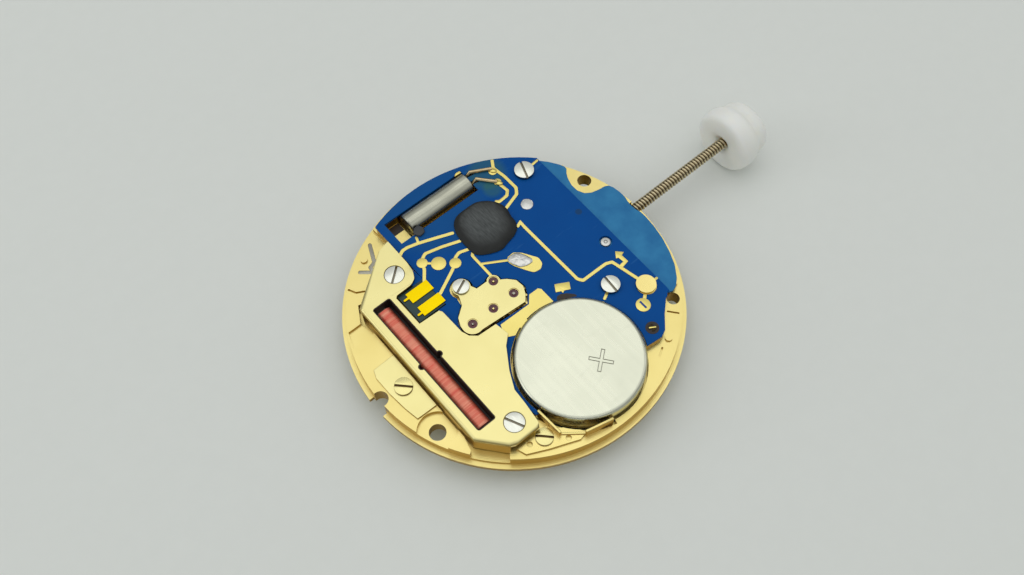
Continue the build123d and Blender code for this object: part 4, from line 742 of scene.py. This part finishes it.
# Cell clamp: flat foot with straight leaves, two of them pressed on the cell
clampLook = {
    "leaves": [
        ([(-4.62, -8.05), (-4.5, -10.3)], 0.19, 1.0, 2.12),
        ([(-1.04, -11.86), (-3.12, -11.34)], 0.19, 1.0, 2.12),
        ([(-4.5, -10.15), (-3.0, -11.35)], 0.16, 0.95, 1.62),
    ],
    "foot": 1.52, "footEdge": 0.02, "corner": 0.04, "edge": 0.035,
}
foot = mergedCopy("cell_clamp", "clampFoot")
heights = [vertex.co.z for vertex in foot.data.vertices]
chooseFaces(foot, lambda face: max(heights[i] for i in face.vertices) > clampLook["foot"] * mm)
bpy.ops.mesh.delete(type="FACE")
leave()
bevelEdges(foot, clampLook["footEdge"])
leaves = [prism("leaf", ribbonOutline(line, width), low, high, clampLook["corner"], clampLook["edge"])
          for line, width, low, high in clampLook["leaves"]]
clamp = joined("cellClamp", [foot] + leaves)
dress(clamp, "movement", "gilt_brass", replaced=["cell_clamp"])
print("stage: crescent and clamp shaped")

# Power cell: shouldered can with a plain stamped plus
cellLook = {
    "top": 2.47, "shoulder": 0.12, "shoulderSteps": 5, "edge": 0.03, "edgeAngle": 60,
    "turn": -52, "arm": 0.9, "half": 0.15, "groove": 0.065, "depth": 0.05, "cutter": 0.3,
}
cell = mergedCopy("power_cell", "powerCell")
chooseEdges(cell, lambda *ends: all(p.z > cellLook["top"] - 0.005 for p in ends))
bpy.ops.mesh.bevel(offset=cellLook["shoulder"] * mm, segments=cellLook["shoulderSteps"])
leave()
bevelEdges(cell, cellLook["edge"], angle=cellLook["edgeAngle"])
half, reach = cellLook["half"], cellLook["arm"] - cellLook["half"]
bpy.ops.mesh.primitive_plane_add(size=2 * half * mm, location=(0, 0, 0))
stamp = named("plusStamp")
settle(stamp)
for across, along in ((1, 0), (0, 1), (-1, 0), (0, -1)):
    def isEnd(first, second):
        middle = (first + second) / 2
        outward = middle.x * across + middle.y * along
        aside = middle.x * along - middle.y * across
        return outward > half * 0.9 and abs(aside) < 0.01

    chooseEdges(stamp, isEnd)
    extruded(across * reach, along * reach, 0)
    leave()
edit(stamp, "EDGE")
pickMesh()
bpy.ops.mesh.remove_doubles(threshold=weld)
bpy.ops.mesh.select_mode(type="FACE")
bpy.ops.mesh.inset(thickness=cellLook["groove"] * mm, depth=0, use_boundary=True)
bpy.ops.mesh.delete(type="FACE")
pickMesh()
extruded(0, 0, cellLook["cutter"])
closeUp()
stamp.rotation_euler.z = radians(cellLook["turn"])
stamp.location = (plusSpot[0] * mm, plusSpot[1] * mm, (cellLook["top"] - cellLook["depth"]) * mm)
settle(stamp)
applied(cell, "BOOLEAN", operation="DIFFERENCE", solver="EXACT", object=stamp)
bpy.data.objects.remove(stamp)
dress(cell, "movement", "cell_steel", replaced=["power_cell"])
print("stage: power cell stamped")

# Coil: one turn of the outer layer, repeated along the core
coilLook = {
    "x": -8.1, "z": 1.35, "low": -6.4, "length": 11.55, "half": 0.62, "corner": 0.44,
    "pitch": 0.07, "groove": 0.022, "flank": 0.28, "crest": 0.44, "uneven": 0.005,
}
inner = coilLook["half"] - coilLook["groove"]
bulge = coilLook["half"] / inner
turnCount = round(coilLook["length"] / coilLook["pitch"])
pitch = coilLook["length"] / turnCount
bpy.ops.mesh.primitive_plane_add(size=2 * inner * mm, rotation=(pi / 2, 0, 0))
winding = named("coilWinding")
settle(winding)
edit(winding, "VERT")
pickMesh()
bpy.ops.mesh.bevel(offset=coilLook["corner"] * mm, segments=5, affect="VERTICES")
pickMesh()
bpy.ops.mesh.delete(type="ONLY_FACE")
pickMesh()
for share, scale in ((coilLook["flank"], bulge), (coilLook["crest"], 1), (coilLook["flank"], 1 / bulge)):
    extruded(0, share * pitch, 0, edges=True)
    bpy.ops.transform.resize(value=(scale, 1, scale), center_override=(0, 0, 0))
leave()
winding.location = (coilLook["x"] * mm, coilLook["low"] * mm, coilLook["z"] * mm)
settle(winding)
applied(winding, "ARRAY", count=turnCount, use_relative_offset=False, use_constant_offset=True,
        constant_offset_displace=(0, pitch * mm, 0), use_merge_vertices=True, merge_threshold=weld)
edit(winding, "VERT")
pickMesh()
bpy.ops.mesh.remove_doubles(threshold=weld)
bpy.ops.transform.vertex_random(offset=coilLook["uneven"] * mm, uniform=0.0, normal=1.0, seed=4)
pickMesh("DESELECT")
bpy.ops.mesh.select_non_manifold()
bpy.ops.mesh.edge_face_add()
closeUp()
dress(winding, "movement", "wire_enamel", replaced=["coil_winding"], angle=80, crisp=False)
print("stage: coil wound,", turnCount, "turns")

# Resin over the chip: a soft lump that leans, with a flatter top
resinLook = {
    "outline": [
        (0.5, 7.72), (1.12, 8.0), (1.75, 8.0), (2.4, 8.02), (3.0, 7.95), (3.55, 7.58), (4.12, 7.01),
        (4.37, 6.3), (4.33, 5.67), (4.14, 5.2), (4.16, 4.6), (3.84, 4.02), (3.15, 3.66), (2.5, 3.6),
        (1.87, 3.32), (1.13, 3.56), (0.35, 3.93), (-0.13, 4.4), (-0.16, 5.04), (-0.14, 5.93), (-0.07, 6.65),
        (0.2, 7.25),
    ],
    "steps": [
        (1.98, 1.0, 0, 0), (2.04, 1.01, 0, 0), (2.2, 0.94, 0.04, 0.05), (2.34, 0.83, 0.11, 0.14),
        (2.4, 0.72, 0.15, 0.2),
    ],
    "insets": [(0.3, 0.005), (0.5, 0)], "middle": (2.1, 5.7), "lumps": 0.045, "lumpSize": 0.45,
}
rows = resinLook["steps"]
middleX, middleY = resinLook["middle"]
resin = flat("chipResin", resinLook["outline"], rows[0][0])
edit(resin, "FACE")
pickMesh()
for (low, before, lowX, lowY), (high, after, highX, highY) in zip(rows, rows[1:]):
    extruded(highX - lowX, highY - lowY, high - low)
    centre = ((middleX + highX) * mm, (middleY + highY) * mm, high * mm)
    bpy.ops.transform.resize(value=(after / before, after / before, 1), center_override=centre)
for inward, upward in resinLook["insets"]:
    bpy.ops.mesh.inset(thickness=inward * mm, depth=upward * mm)
bpy.ops.mesh.poke()
closeUp()
applied(resin, "SUBSURF", levels=3, render_levels=3)
lumpy(resin, "resinLumps", resinLook["lumpSize"], resinLook["lumps"], 0.7)
dress(resin, "movement", "resin", replaced=["chip_resin"], angle=60, crisp=False)
print("stage: resin cast")

# Crystal can: a drawn tube with a rounded end
canEdge = 0.06
can = mergedCopy("crystal_can", "crystalCan")
bevelEdges(can, canEdge, 3)
dress(can, "movement", "can_metal", replaced=["crystal_can"])

# Solder: a gold land under a lump of tin, and the CAD's grey disc
solderLook = {
    "land": {
        "outline": [
            (1.61, 2.66), (2.21, 2.71), (2.69, 2.29), (3.39, 1.13), (3.28, 0.57), (2.87, 0.29), (2.32, 0.39),
            (2.02, 0.85), (1.54, 1.75), (1.41, 2.26),
        ],
        "low": 1.96, "high": 1.992, "corner": 0.12, "edge": 0.006,
    },
    "lump": [
        (1.56, 2.6), (2.2, 2.66), (2.6, 2.33), (2.97, 1.46), (2.9, 1.12), (2.37, 1.12), (1.78, 1.38),
        (1.54, 1.9), (1.43, 2.3),
    ],
    "steps": [(1.98, 1.0), (2.04, 0.97), (2.1, 0.8), (2.14, 0.5)], "middle": (2.1, 1.9), "corner": 0.14,
    "left": 3.4, "wireEnds": [(5.75, 9.35), (5.4, 8.35)], "wireNear": 0.7, "edge": 0.04,
    "flow": 0.07, "flowSize": 0.3,
}
land = prism("solderLand", **solderLook["land"])
dress(land, "movement", "trace_gold")
rows = solderLook["steps"]
middleX, middleY = solderLook["middle"]
lump = prism("solderLump", solderLook["lump"], rows[0][0], rows[1][0], solderLook["corner"])
chooseFaces(lump, facesUp)
for (low, before), (high, after) in zip(rows[1:], rows[2:]):
    extruded(0, 0, high - low)
    centre = (middleX * mm, middleY * mm, high * mm)
    bpy.ops.transform.resize(value=(after / before, after / before, 1), center_override=centre)
bpy.ops.mesh.poke()
leave()
applied(lump, "SUBSURF", levels=2, render_levels=2)
beads = mergedCopy("solder_joints", "solderBeads")


def isReplaced(face):
    spot = face.center.xy / mm
    gaps = [(spot - Vector(end)).length for end in solderLook["wireEnds"]]
    return spot.x < solderLook["left"] or min(gaps) < solderLook["wireNear"]


chooseFaces(beads, isReplaced)
bpy.ops.mesh.delete(type="FACE")
leave()
bevelEdges(beads, solderLook["edge"])
beads = joined("solderBeads", [beads, lump])
lumpy(beads, "solderRipple", solderLook["flowSize"], solderLook["flow"], 0.6)
dress(beads, "movement", "solder", replaced=["solder_joints"], angle=70, crisp=False)

# Crystal wires: the CAD's, a little thicker, with gold fillets at their ends
leadLook = {
    "thicker": 0.07, "turn": -52, "z": 1.98, "height": 0.13,
    "fillets": [(5.78, 9.36, 0.3, 0.2), (5.4, 8.2, 0.34, 0.22)],
}
leads = mergedCopy("crystal_leads", "crystalLeads")
edit(leads, "VERT")
pickMesh()
bpy.ops.transform.shrink_fatten(value=leadLook["thicker"] * mm)
leave()
fillets = []
for x, y, length, width in leadLook["fillets"]:
    bpy.ops.mesh.primitive_uv_sphere_add(segments=24, ring_count=12, radius=1 * mm,
                                         location=(x * mm, y * mm, leadLook["z"] * mm),
                                         rotation=(0, 0, radians(leadLook["turn"])))
    fillet = named("leadFillet")
    fillet.scale = (length, width, leadLook["height"])
    settle(fillet)
    fillets.append(fillet)
dress(joined("leadFillets", fillets), "movement", "trace_gold", angle=60, crisp=False)
dress(leads, "movement", "solder", "leadWire", ["crystal_leads"], angle=60, crisp=False)
print("stage: solder flowed")

# Printed circuit: gold lines and pads, an arrow, a blank tag
traceLook = {
    "low": 1.94, "top": 1.978, "lift": 0.0008, "corner": 0.1, "small": 0.03, "edge": 0.006,
    "lines": [
        ([(-0.05, 6.95), (-1.49, 7.52), (-2.7, 7.98), (-3.51, 8.21), (-3.95, 8.23), (-4.42, 8.0)], 0.26),
        ([(-2.66, 7.95), (-2.44, 8.55)], 0.2),
        ([(-0.05, 6.04), (-1.54, 6.58), (-2.84, 6.92), (-3.29, 6.69), (-3.52, 6.4), (-3.69, 5.91),
          (-4.4, 5.01)], 0.25),
        ([(-3.5, 6.42), (-2.59, 5.6)], 0.2),
        ([(-0.05, 5.08), (-0.86, 5.34), (-1.33, 5.18), (-1.62, 4.81), (-2.2, 4.47), (-4.15, 3.48)], 0.25),
        ([(-0.02, 4.72), (-0.26, 4.5), (-0.28, 2.22)], 0.22),
        ([(-0.27, 3.55), (1.6, 2.4)], 0.2),
        ([(6.42, 10.25), (5.98, 9.57), (6.14, 8.41), (6.15, 7.0), (5.8, 6.51), (4.1, 5.98)], 0.25),
        ([(5.36, 8.34), (5.49, 7.25), (5.14, 6.9), (4.34, 6.85), (4.1, 7.1)], 0.25),
        ([(9.15, 7.89), (8.2, 7.8)], 0.2),
        ([(3.9, 4.2), (4.37, 4.4), (4.33, 3.9), (4.37, -2.1), (4.6, -2.46), (6.83, -2.5), (7.29, -2.7),
          (7.86, -5.4)], 0.25),
        ([(7.85, -5.8), (8.95, -5.83)], 0.2),
        ([(7.85, -5.8), (6.59, -6.82)], 0.25),
        ([(5.5, -4.25), (4.69, -4.65)], 0.22),
    ],
    "pads": [
        (-3.5, 6.42, 0.42), (-2.59, 5.6, 0.57), (-1.62, 4.81, 0.45), (7.85, -5.8, 0.75), (6.57, -6.8, 0.55),
        (5.75, 9.35, 0.34), (5.4, 8.35, 0.3),
    ],
    "arrow": [
        (8.08, -2.17), (8.54, -2.64), (8.23, -2.74), (8.24, -3.43), (7.6, -3.54), (7.45, -3.27),
        (7.94, -3.21), (7.89, -2.73), (7.7, -2.68),
    ],
    "tag": [
        (2.78, -1.33), (3.76, -1.89), (3.43, -2.42), (3.0, -2.19), (2.78, -2.29), (2.8, -2.1), (2.42, -1.9),
    ],
}
shapes = [(ribbonOutline(line, width), traceLook["corner"]) for line, width in traceLook["lines"]]
shapes += [(ringOutline(*pad), 0) for pad in traceLook["pads"]]
shapes += [(traceLook[name], traceLook["small"]) for name in ("arrow", "tag")]
gold = []
for number, (outline, corner) in enumerate(shapes):
    top = traceLook["top"] + number * traceLook["lift"]
    gold.append(prism("trace", outline, traceLook["low"], top, corner, traceLook["edge"]))
dress(joined("boardTraces", gold), "movement", "trace_gold", replaced=["board_traces"])


def setMarks(marks):
    # each mark has its outline, heights, corner and edge, then slot and finish
    for name, (*form, slotName, finishName) in marks.items():
        dress(prism(name, *form), "movement", slotName, finishName)


# Minus: a blue bar on the contact's gold
minusLook = {
    "minusBar": ([(6.49, -6.45), (6.65, -6.45), (6.65, -7.14), (6.49, -7.14)], 1.98, 2.005, 0, 0.006,
                 "board", "inkBlue"),
}
setMarks(minusLook)

# Board tongues: the sheet between the coil cover and its neighbours
tongueLook = {
    "outlines": [
        [(-5.02, 2.57), (-4.24, 2.54), (-3.44, 2.21), (-3.5, 1.8), (-4.15, 1.33), (-4.6, 0.79), (-4.8, 0.13),
         (-5.4, 0.2), (-5.6, 1.83)],
        [(-4.37, 6.59), (-4.29, 5.25), (-5.02, 5.22), (-5.6, 5.7), (-5.0, 6.9)],
    ],
    "low": 1.9, "high": 1.946,
}
tongues = [prism("tongue", outline, tongueLook["low"], tongueLook["high"])
           for outline in tongueLook["outlines"]]
dress(joined("boardTongues", tongues), "movement", "board")

# Board pin's bar, and dark sheets of painted shade in the pin's recess, beside the crystal can and beside the
# board
recessLook = {
    "pinSink": (ringOutline(5.8, -8.56, 0.5), 1.9, 1.956, 0, 0, "board", "liner"),
    "pinBar": (ribbonOutline([(5.57, -8.43), (6.03, -8.71)], 0.11), 2.0, 2.05, 0.02, 0.012,
               "trace_gold", None),
    "slotShade": ([(-3.6, 10.15), (-2.47, 10.15), (-2.47, 10.95), (-3.6, 10.95)], 0.996, 1.02, 0, 0,
                  "insulator", "liner"),
    "boardGap": ([(2.05, -2.42), (2.28, -2.2), (2.6, -2.22), (3.02, -2.49), (3.42, -2.93), (3.42, -3.15),
                  (2.9, -2.88), (2.4, -2.6)], 1.93, 1.954, 0.05, 0, "board", "liner"),
}
setMarks(recessLook)

# Contact dome: the raised middle of the battery's pad
domeLook = {"radius": 0.52, "place": (7.85, -5.8, 1.98), "flatness": 0.3}
bpy.ops.mesh.primitive_uv_sphere_add(segments=32, ring_count=16, radius=domeLook["radius"] * mm,
                                     location=[value * mm for value in domeLook["place"]])
dome = named("contactDome")
dome.scale.z = domeLook["flatness"]
settle(dome)
dress(dome, "movement", "trace_gold", angle=60, crisp=False)

# Crystal can's neighbours: a dab of dark resin and a tack of gold
tackLook = {
    "canDab": ([(-1.78, 9.2), (-1.53, 8.76), (-1.72, 8.36), (-2.24, 8.3), (-2.5, 8.79), (-2.22, 9.16)],
               1.94, 2.14, 0.12, 0.07, "resin", "darkResin"),
    "canTack": ([(3.13, 10.9), (3.4, 11.1), (3.78, 11.08), (3.82, 10.84)], 1.9, 2.02, 0.06, 0.03,
                "trace_gold", None),
}
setMarks(tackLook)
print("stage: board marks printed")

# Winding stem: the CAD shaft, with one turn of thread wound along its outer end
threadLook = {
    "low": 11.0, "high": 22.9, "pitch": 0.28, "steps": 32,
    "profile": [
        (0, 0.355), (0.2, 0.385), (0.35, 0.435), (0.5, 0.449), (0.65, 0.435), (0.8, 0.385), (1, 0.355),
    ],
}
threadLow, threadHigh, threadPitch = threadLook["low"], threadLook["high"], threadLook["pitch"]


def cutBeyond(piece, x, outward):
    # the piece ends at x in a flat face
    edit(piece, "FACE")
    pickMesh()
    bpy.ops.mesh.bisect(plane_co=(x * mm, 0, 0), plane_no=(outward, 0, 0), use_fill=True, clear_outer=True)
    leave()


shaft = mergedCopy("winding_stem", "stemShaft")
cutBeyond(shaft, threadLow, 1)
profile = threadLook["profile"]
bpy.ops.mesh.primitive_circle_add(vertices=len(profile), radius=1 * mm, fill_type="NOTHING",
                                  location=(0, 0, 0))
thread = named("stemThread")
for vertex, (share, radius) in zip(thread.data.vertices, profile):
    vertex.co = ((threadLow + (share - 1) * threadPitch) * mm, 0, radius * mm)
edit(thread, "EDGE")
pickMesh("DESELECT")
leave()
for edge in thread.data.edges:
    edge.select = abs(edge.vertices[0] - edge.vertices[1]) > 1
edit(thread, "EDGE")
bpy.ops.mesh.delete(type="EDGE")
leave()
turns = round((threadHigh - threadLow) / threadPitch) + 2
applied(thread, "SCREW", axis="X", angle=2 * pi, screw_offset=threadPitch * mm, iterations=turns,
        steps=threadLook["steps"], render_steps=threadLook["steps"], use_merge_vertices=True,
        merge_threshold=weld)
thread.location.z = stemHeight * mm
settle(thread)
cutBeyond(thread, threadLow, -1)
cutBeyond(thread, threadHigh, 1)
edit(thread, "FACE")
pickMesh()
bpy.ops.mesh.remove_doubles(threshold=weld)
closeUp()
stem = joined("windingStem", [shaft, thread])
dress(stem, bodyOf["winding_stem"], "steel", "stem", ["winding_stem"], angle=60, crisp=False)
print("stage: stem threaded")

# Winding knob: milky moulded disc and boss on the stem
knobLook = {
    "bore": 0.46, "boreDepth": 1.3,
    "stations": [
        (21.62, 1.4), (21.62, 1.9), (21.64, 2.25), (21.78, 2.52), (22.05, 2.68), (22.9, 2.7), (23.25, 2.62),
        (23.42, 2.46), (23.56, 2.34), (24.4, 2.3), (24.75, 2.16), (24.93, 1.75), (24.95, 0.9), (24.95, 0.3),
    ],
    "dents": 0.1, "dentSize": 1.6,
}
place, radius = knobLook["stations"][0][0], knobLook["bore"]
bpy.ops.mesh.primitive_circle_add(vertices=64, radius=radius * mm, fill_type="NOTHING",
                                  location=(place * mm, 0, stemHeight * mm), rotation=(0, pi / 2, 0))
knob = named("windingKnob")
settle(knob)
edit(knob, "EDGE")
pickMesh()
for x, nextRadius in knobLook["stations"]:
    extruded(x - place, 0, 0, edges=True)
    ratio = nextRadius / radius
    bpy.ops.transform.resize(value=(1, ratio, ratio), center_override=(x * mm, 0, stemHeight * mm))
    place, radius = x, nextRadius
bpy.ops.mesh.edge_face_add()
pickMesh("DESELECT")
bpy.ops.mesh.select_non_manifold()
extruded(knobLook["boreDepth"], 0, 0, edges=True)
bpy.ops.mesh.edge_face_add()
closeUp()
applied(knob, "SUBSURF", levels=1, render_levels=1)
lumpy(knob, "knobDents", knobLook["dentSize"], knobLook["dents"], 0.7)
dress(knob, bodyOf["crown_knob"], "knob_plastic", replaced=["crown_knob"], angle=60, crisp=False)
print("stage: knob moulded")

# Date ring: printed numbers on its dial side
dateLook = {"radius": 9.42, "size": 1.0, "low": 0.118, "high": 0.131, "count": 31}
figures = []
for day in range(1, dateLook["count"] + 1):
    angle = -(day - 1) * 2 * pi / dateLook["count"]
    bpy.ops.object.text_add(location=(0, 0, 0))
    text = bpy.context.view_layer.objects.active
    text.data.body = str(day)
    text.data.size = dateLook["size"] * mm
    text.data.align_x = "CENTER"
    text.data.align_y = "CENTER"
    text.data.extrude = (dateLook["high"] - dateLook["low"]) / 2 * mm
    text.data.resolution_u = 3
    pickOnly(text)
    bpy.ops.object.convert(target="MESH")
    figure = named("date" + str(day))
    middle = (dateLook["low"] + dateLook["high"]) / 2
    spot = Vector((dateLook["radius"] * cos(angle), dateLook["radius"] * sin(angle), middle)) * mm
    facing = Matrix.Rotation(angle, 4, "Z") @ Matrix.Rotation(pi, 4, "X")
    figure.data.transform(Matrix.Translation(spot) @ facing)
    figures.append(figure)
dress(joined("dateNumbers", figures), "date", "date_white", "inkBlack")
print("stage: date printed")

# Table
tableLook = {"z": -1.76, "size": 900, "shade": (0.765, 0.79, 0.755, 1), "fleck": (0.79, 0.815, 0.78, 1)}
bpy.ops.mesh.primitive_grid_add(x_subdivisions=8, y_subdivisions=8, size=tableLook["size"] * mm,
                                location=(0, 0, tableLook["z"] * mm))
table = named("table")
settle(table)
paper = Finish("tablePaper", Roughness=0.9)
fibre = paper.speckle(1.1, 5)
shade = paper.mixed(fibre, tableLook["shade"], tableLook["fleck"])
table.data.materials.append(paper.paint(shade, None, fibre, 0.02))

# Studio: a soft sky, brighter towards the top
world = bpy.data.worlds.new("studio")
bpy.context.scene.world = world
world.use_nodes = True
sky = Board(world.node_tree)
outward = sky.add("ShaderNodeTexCoord", {}, {}, "Generated")
height = sky.add("ShaderNodeSeparateXYZ", {}, {0: outward}, "Z")
rise = sky.add("ShaderNodeMapRange", {"interpolation_type": "SMOOTHSTEP"}, {0: height, 1: 0.1, 2: 0.85})
low, high = (0.14, 0.142, 0.145, 1), (0.76, 0.775, 0.77, 1)
glow = sky.add("ShaderNodeMix", {"data_type": "RGBA"}, {0: rise, 6: low, 7: high}, 2)
background = world.node_tree.nodes["Background"]
world.node_tree.links.new(glow.socket, background.inputs["Color"])
background.inputs["Strength"].default_value = 1.0

# Lamps, all aimed at the middle of the part
lampLook = {
    "overhead": {"place": (0.02, 0.06, 0.30), "size": (0.3, 0.24), "level": 0.42, "tint": (1.0, 0.99, 0.96)},
    "window": {"place": (-0.30, 0.18, 0.16), "size": (0.2, 0.22), "level": 1.1, "tint": (0.96, 0.98, 1.0)},
    "rightCard": {"place": (0.28, -0.1, 0.14), "size": (0.12, 0.18), "level": 0.5, "tint": (1.0, 0.98, 0.95)},
}
for name, look in lampLook.items():
    lamp = bpy.data.lights.new(name, "AREA")
    lamp.shape = "RECTANGLE"
    lamp.size, lamp.size_y = look["size"]
    lamp.energy = look["level"] * look["size"][0] * look["size"][1] * pi
    lamp.color = look["tint"]
    holder = bpy.data.objects.new(name, lamp)
    bpy.context.scene.collection.objects.link(holder)
    holder.location = look["place"]
    holder.rotation_euler = (-Vector(look["place"])).to_track_quat("-Z", "Y").to_euler()

# Camera, placed from the photo's outlines
cameraLook = {
    "place": (-0.02242, -0.02784, 0.06934), "lens": 36.64, "sensor": 36, "clip": (0.002, 5),
    "right": (0.7644, -0.6447, -0.0139), "up": (0.5727, 0.6688, 0.4740), "back": (-0.2963, -0.3703, 0.8804),
}
lens = bpy.data.cameras.new("camera")
lens.lens = cameraLook["lens"]
lens.sensor_width = cameraLook["sensor"]
lens.clip_start, lens.clip_end = cameraLook["clip"]
camera = bpy.data.objects.new("camera", lens)
bpy.context.scene.collection.objects.link(camera)
turn = Matrix([cameraLook["right"], cameraLook["up"], cameraLook["back"]]).transposed().to_4x4()
camera.matrix_world = Matrix.Translation(cameraLook["place"]) @ turn
bpy.context.scene.camera = camera
bpy.context.scene.view_settings.view_transform = "Standard"

print("stage: scene laid out")
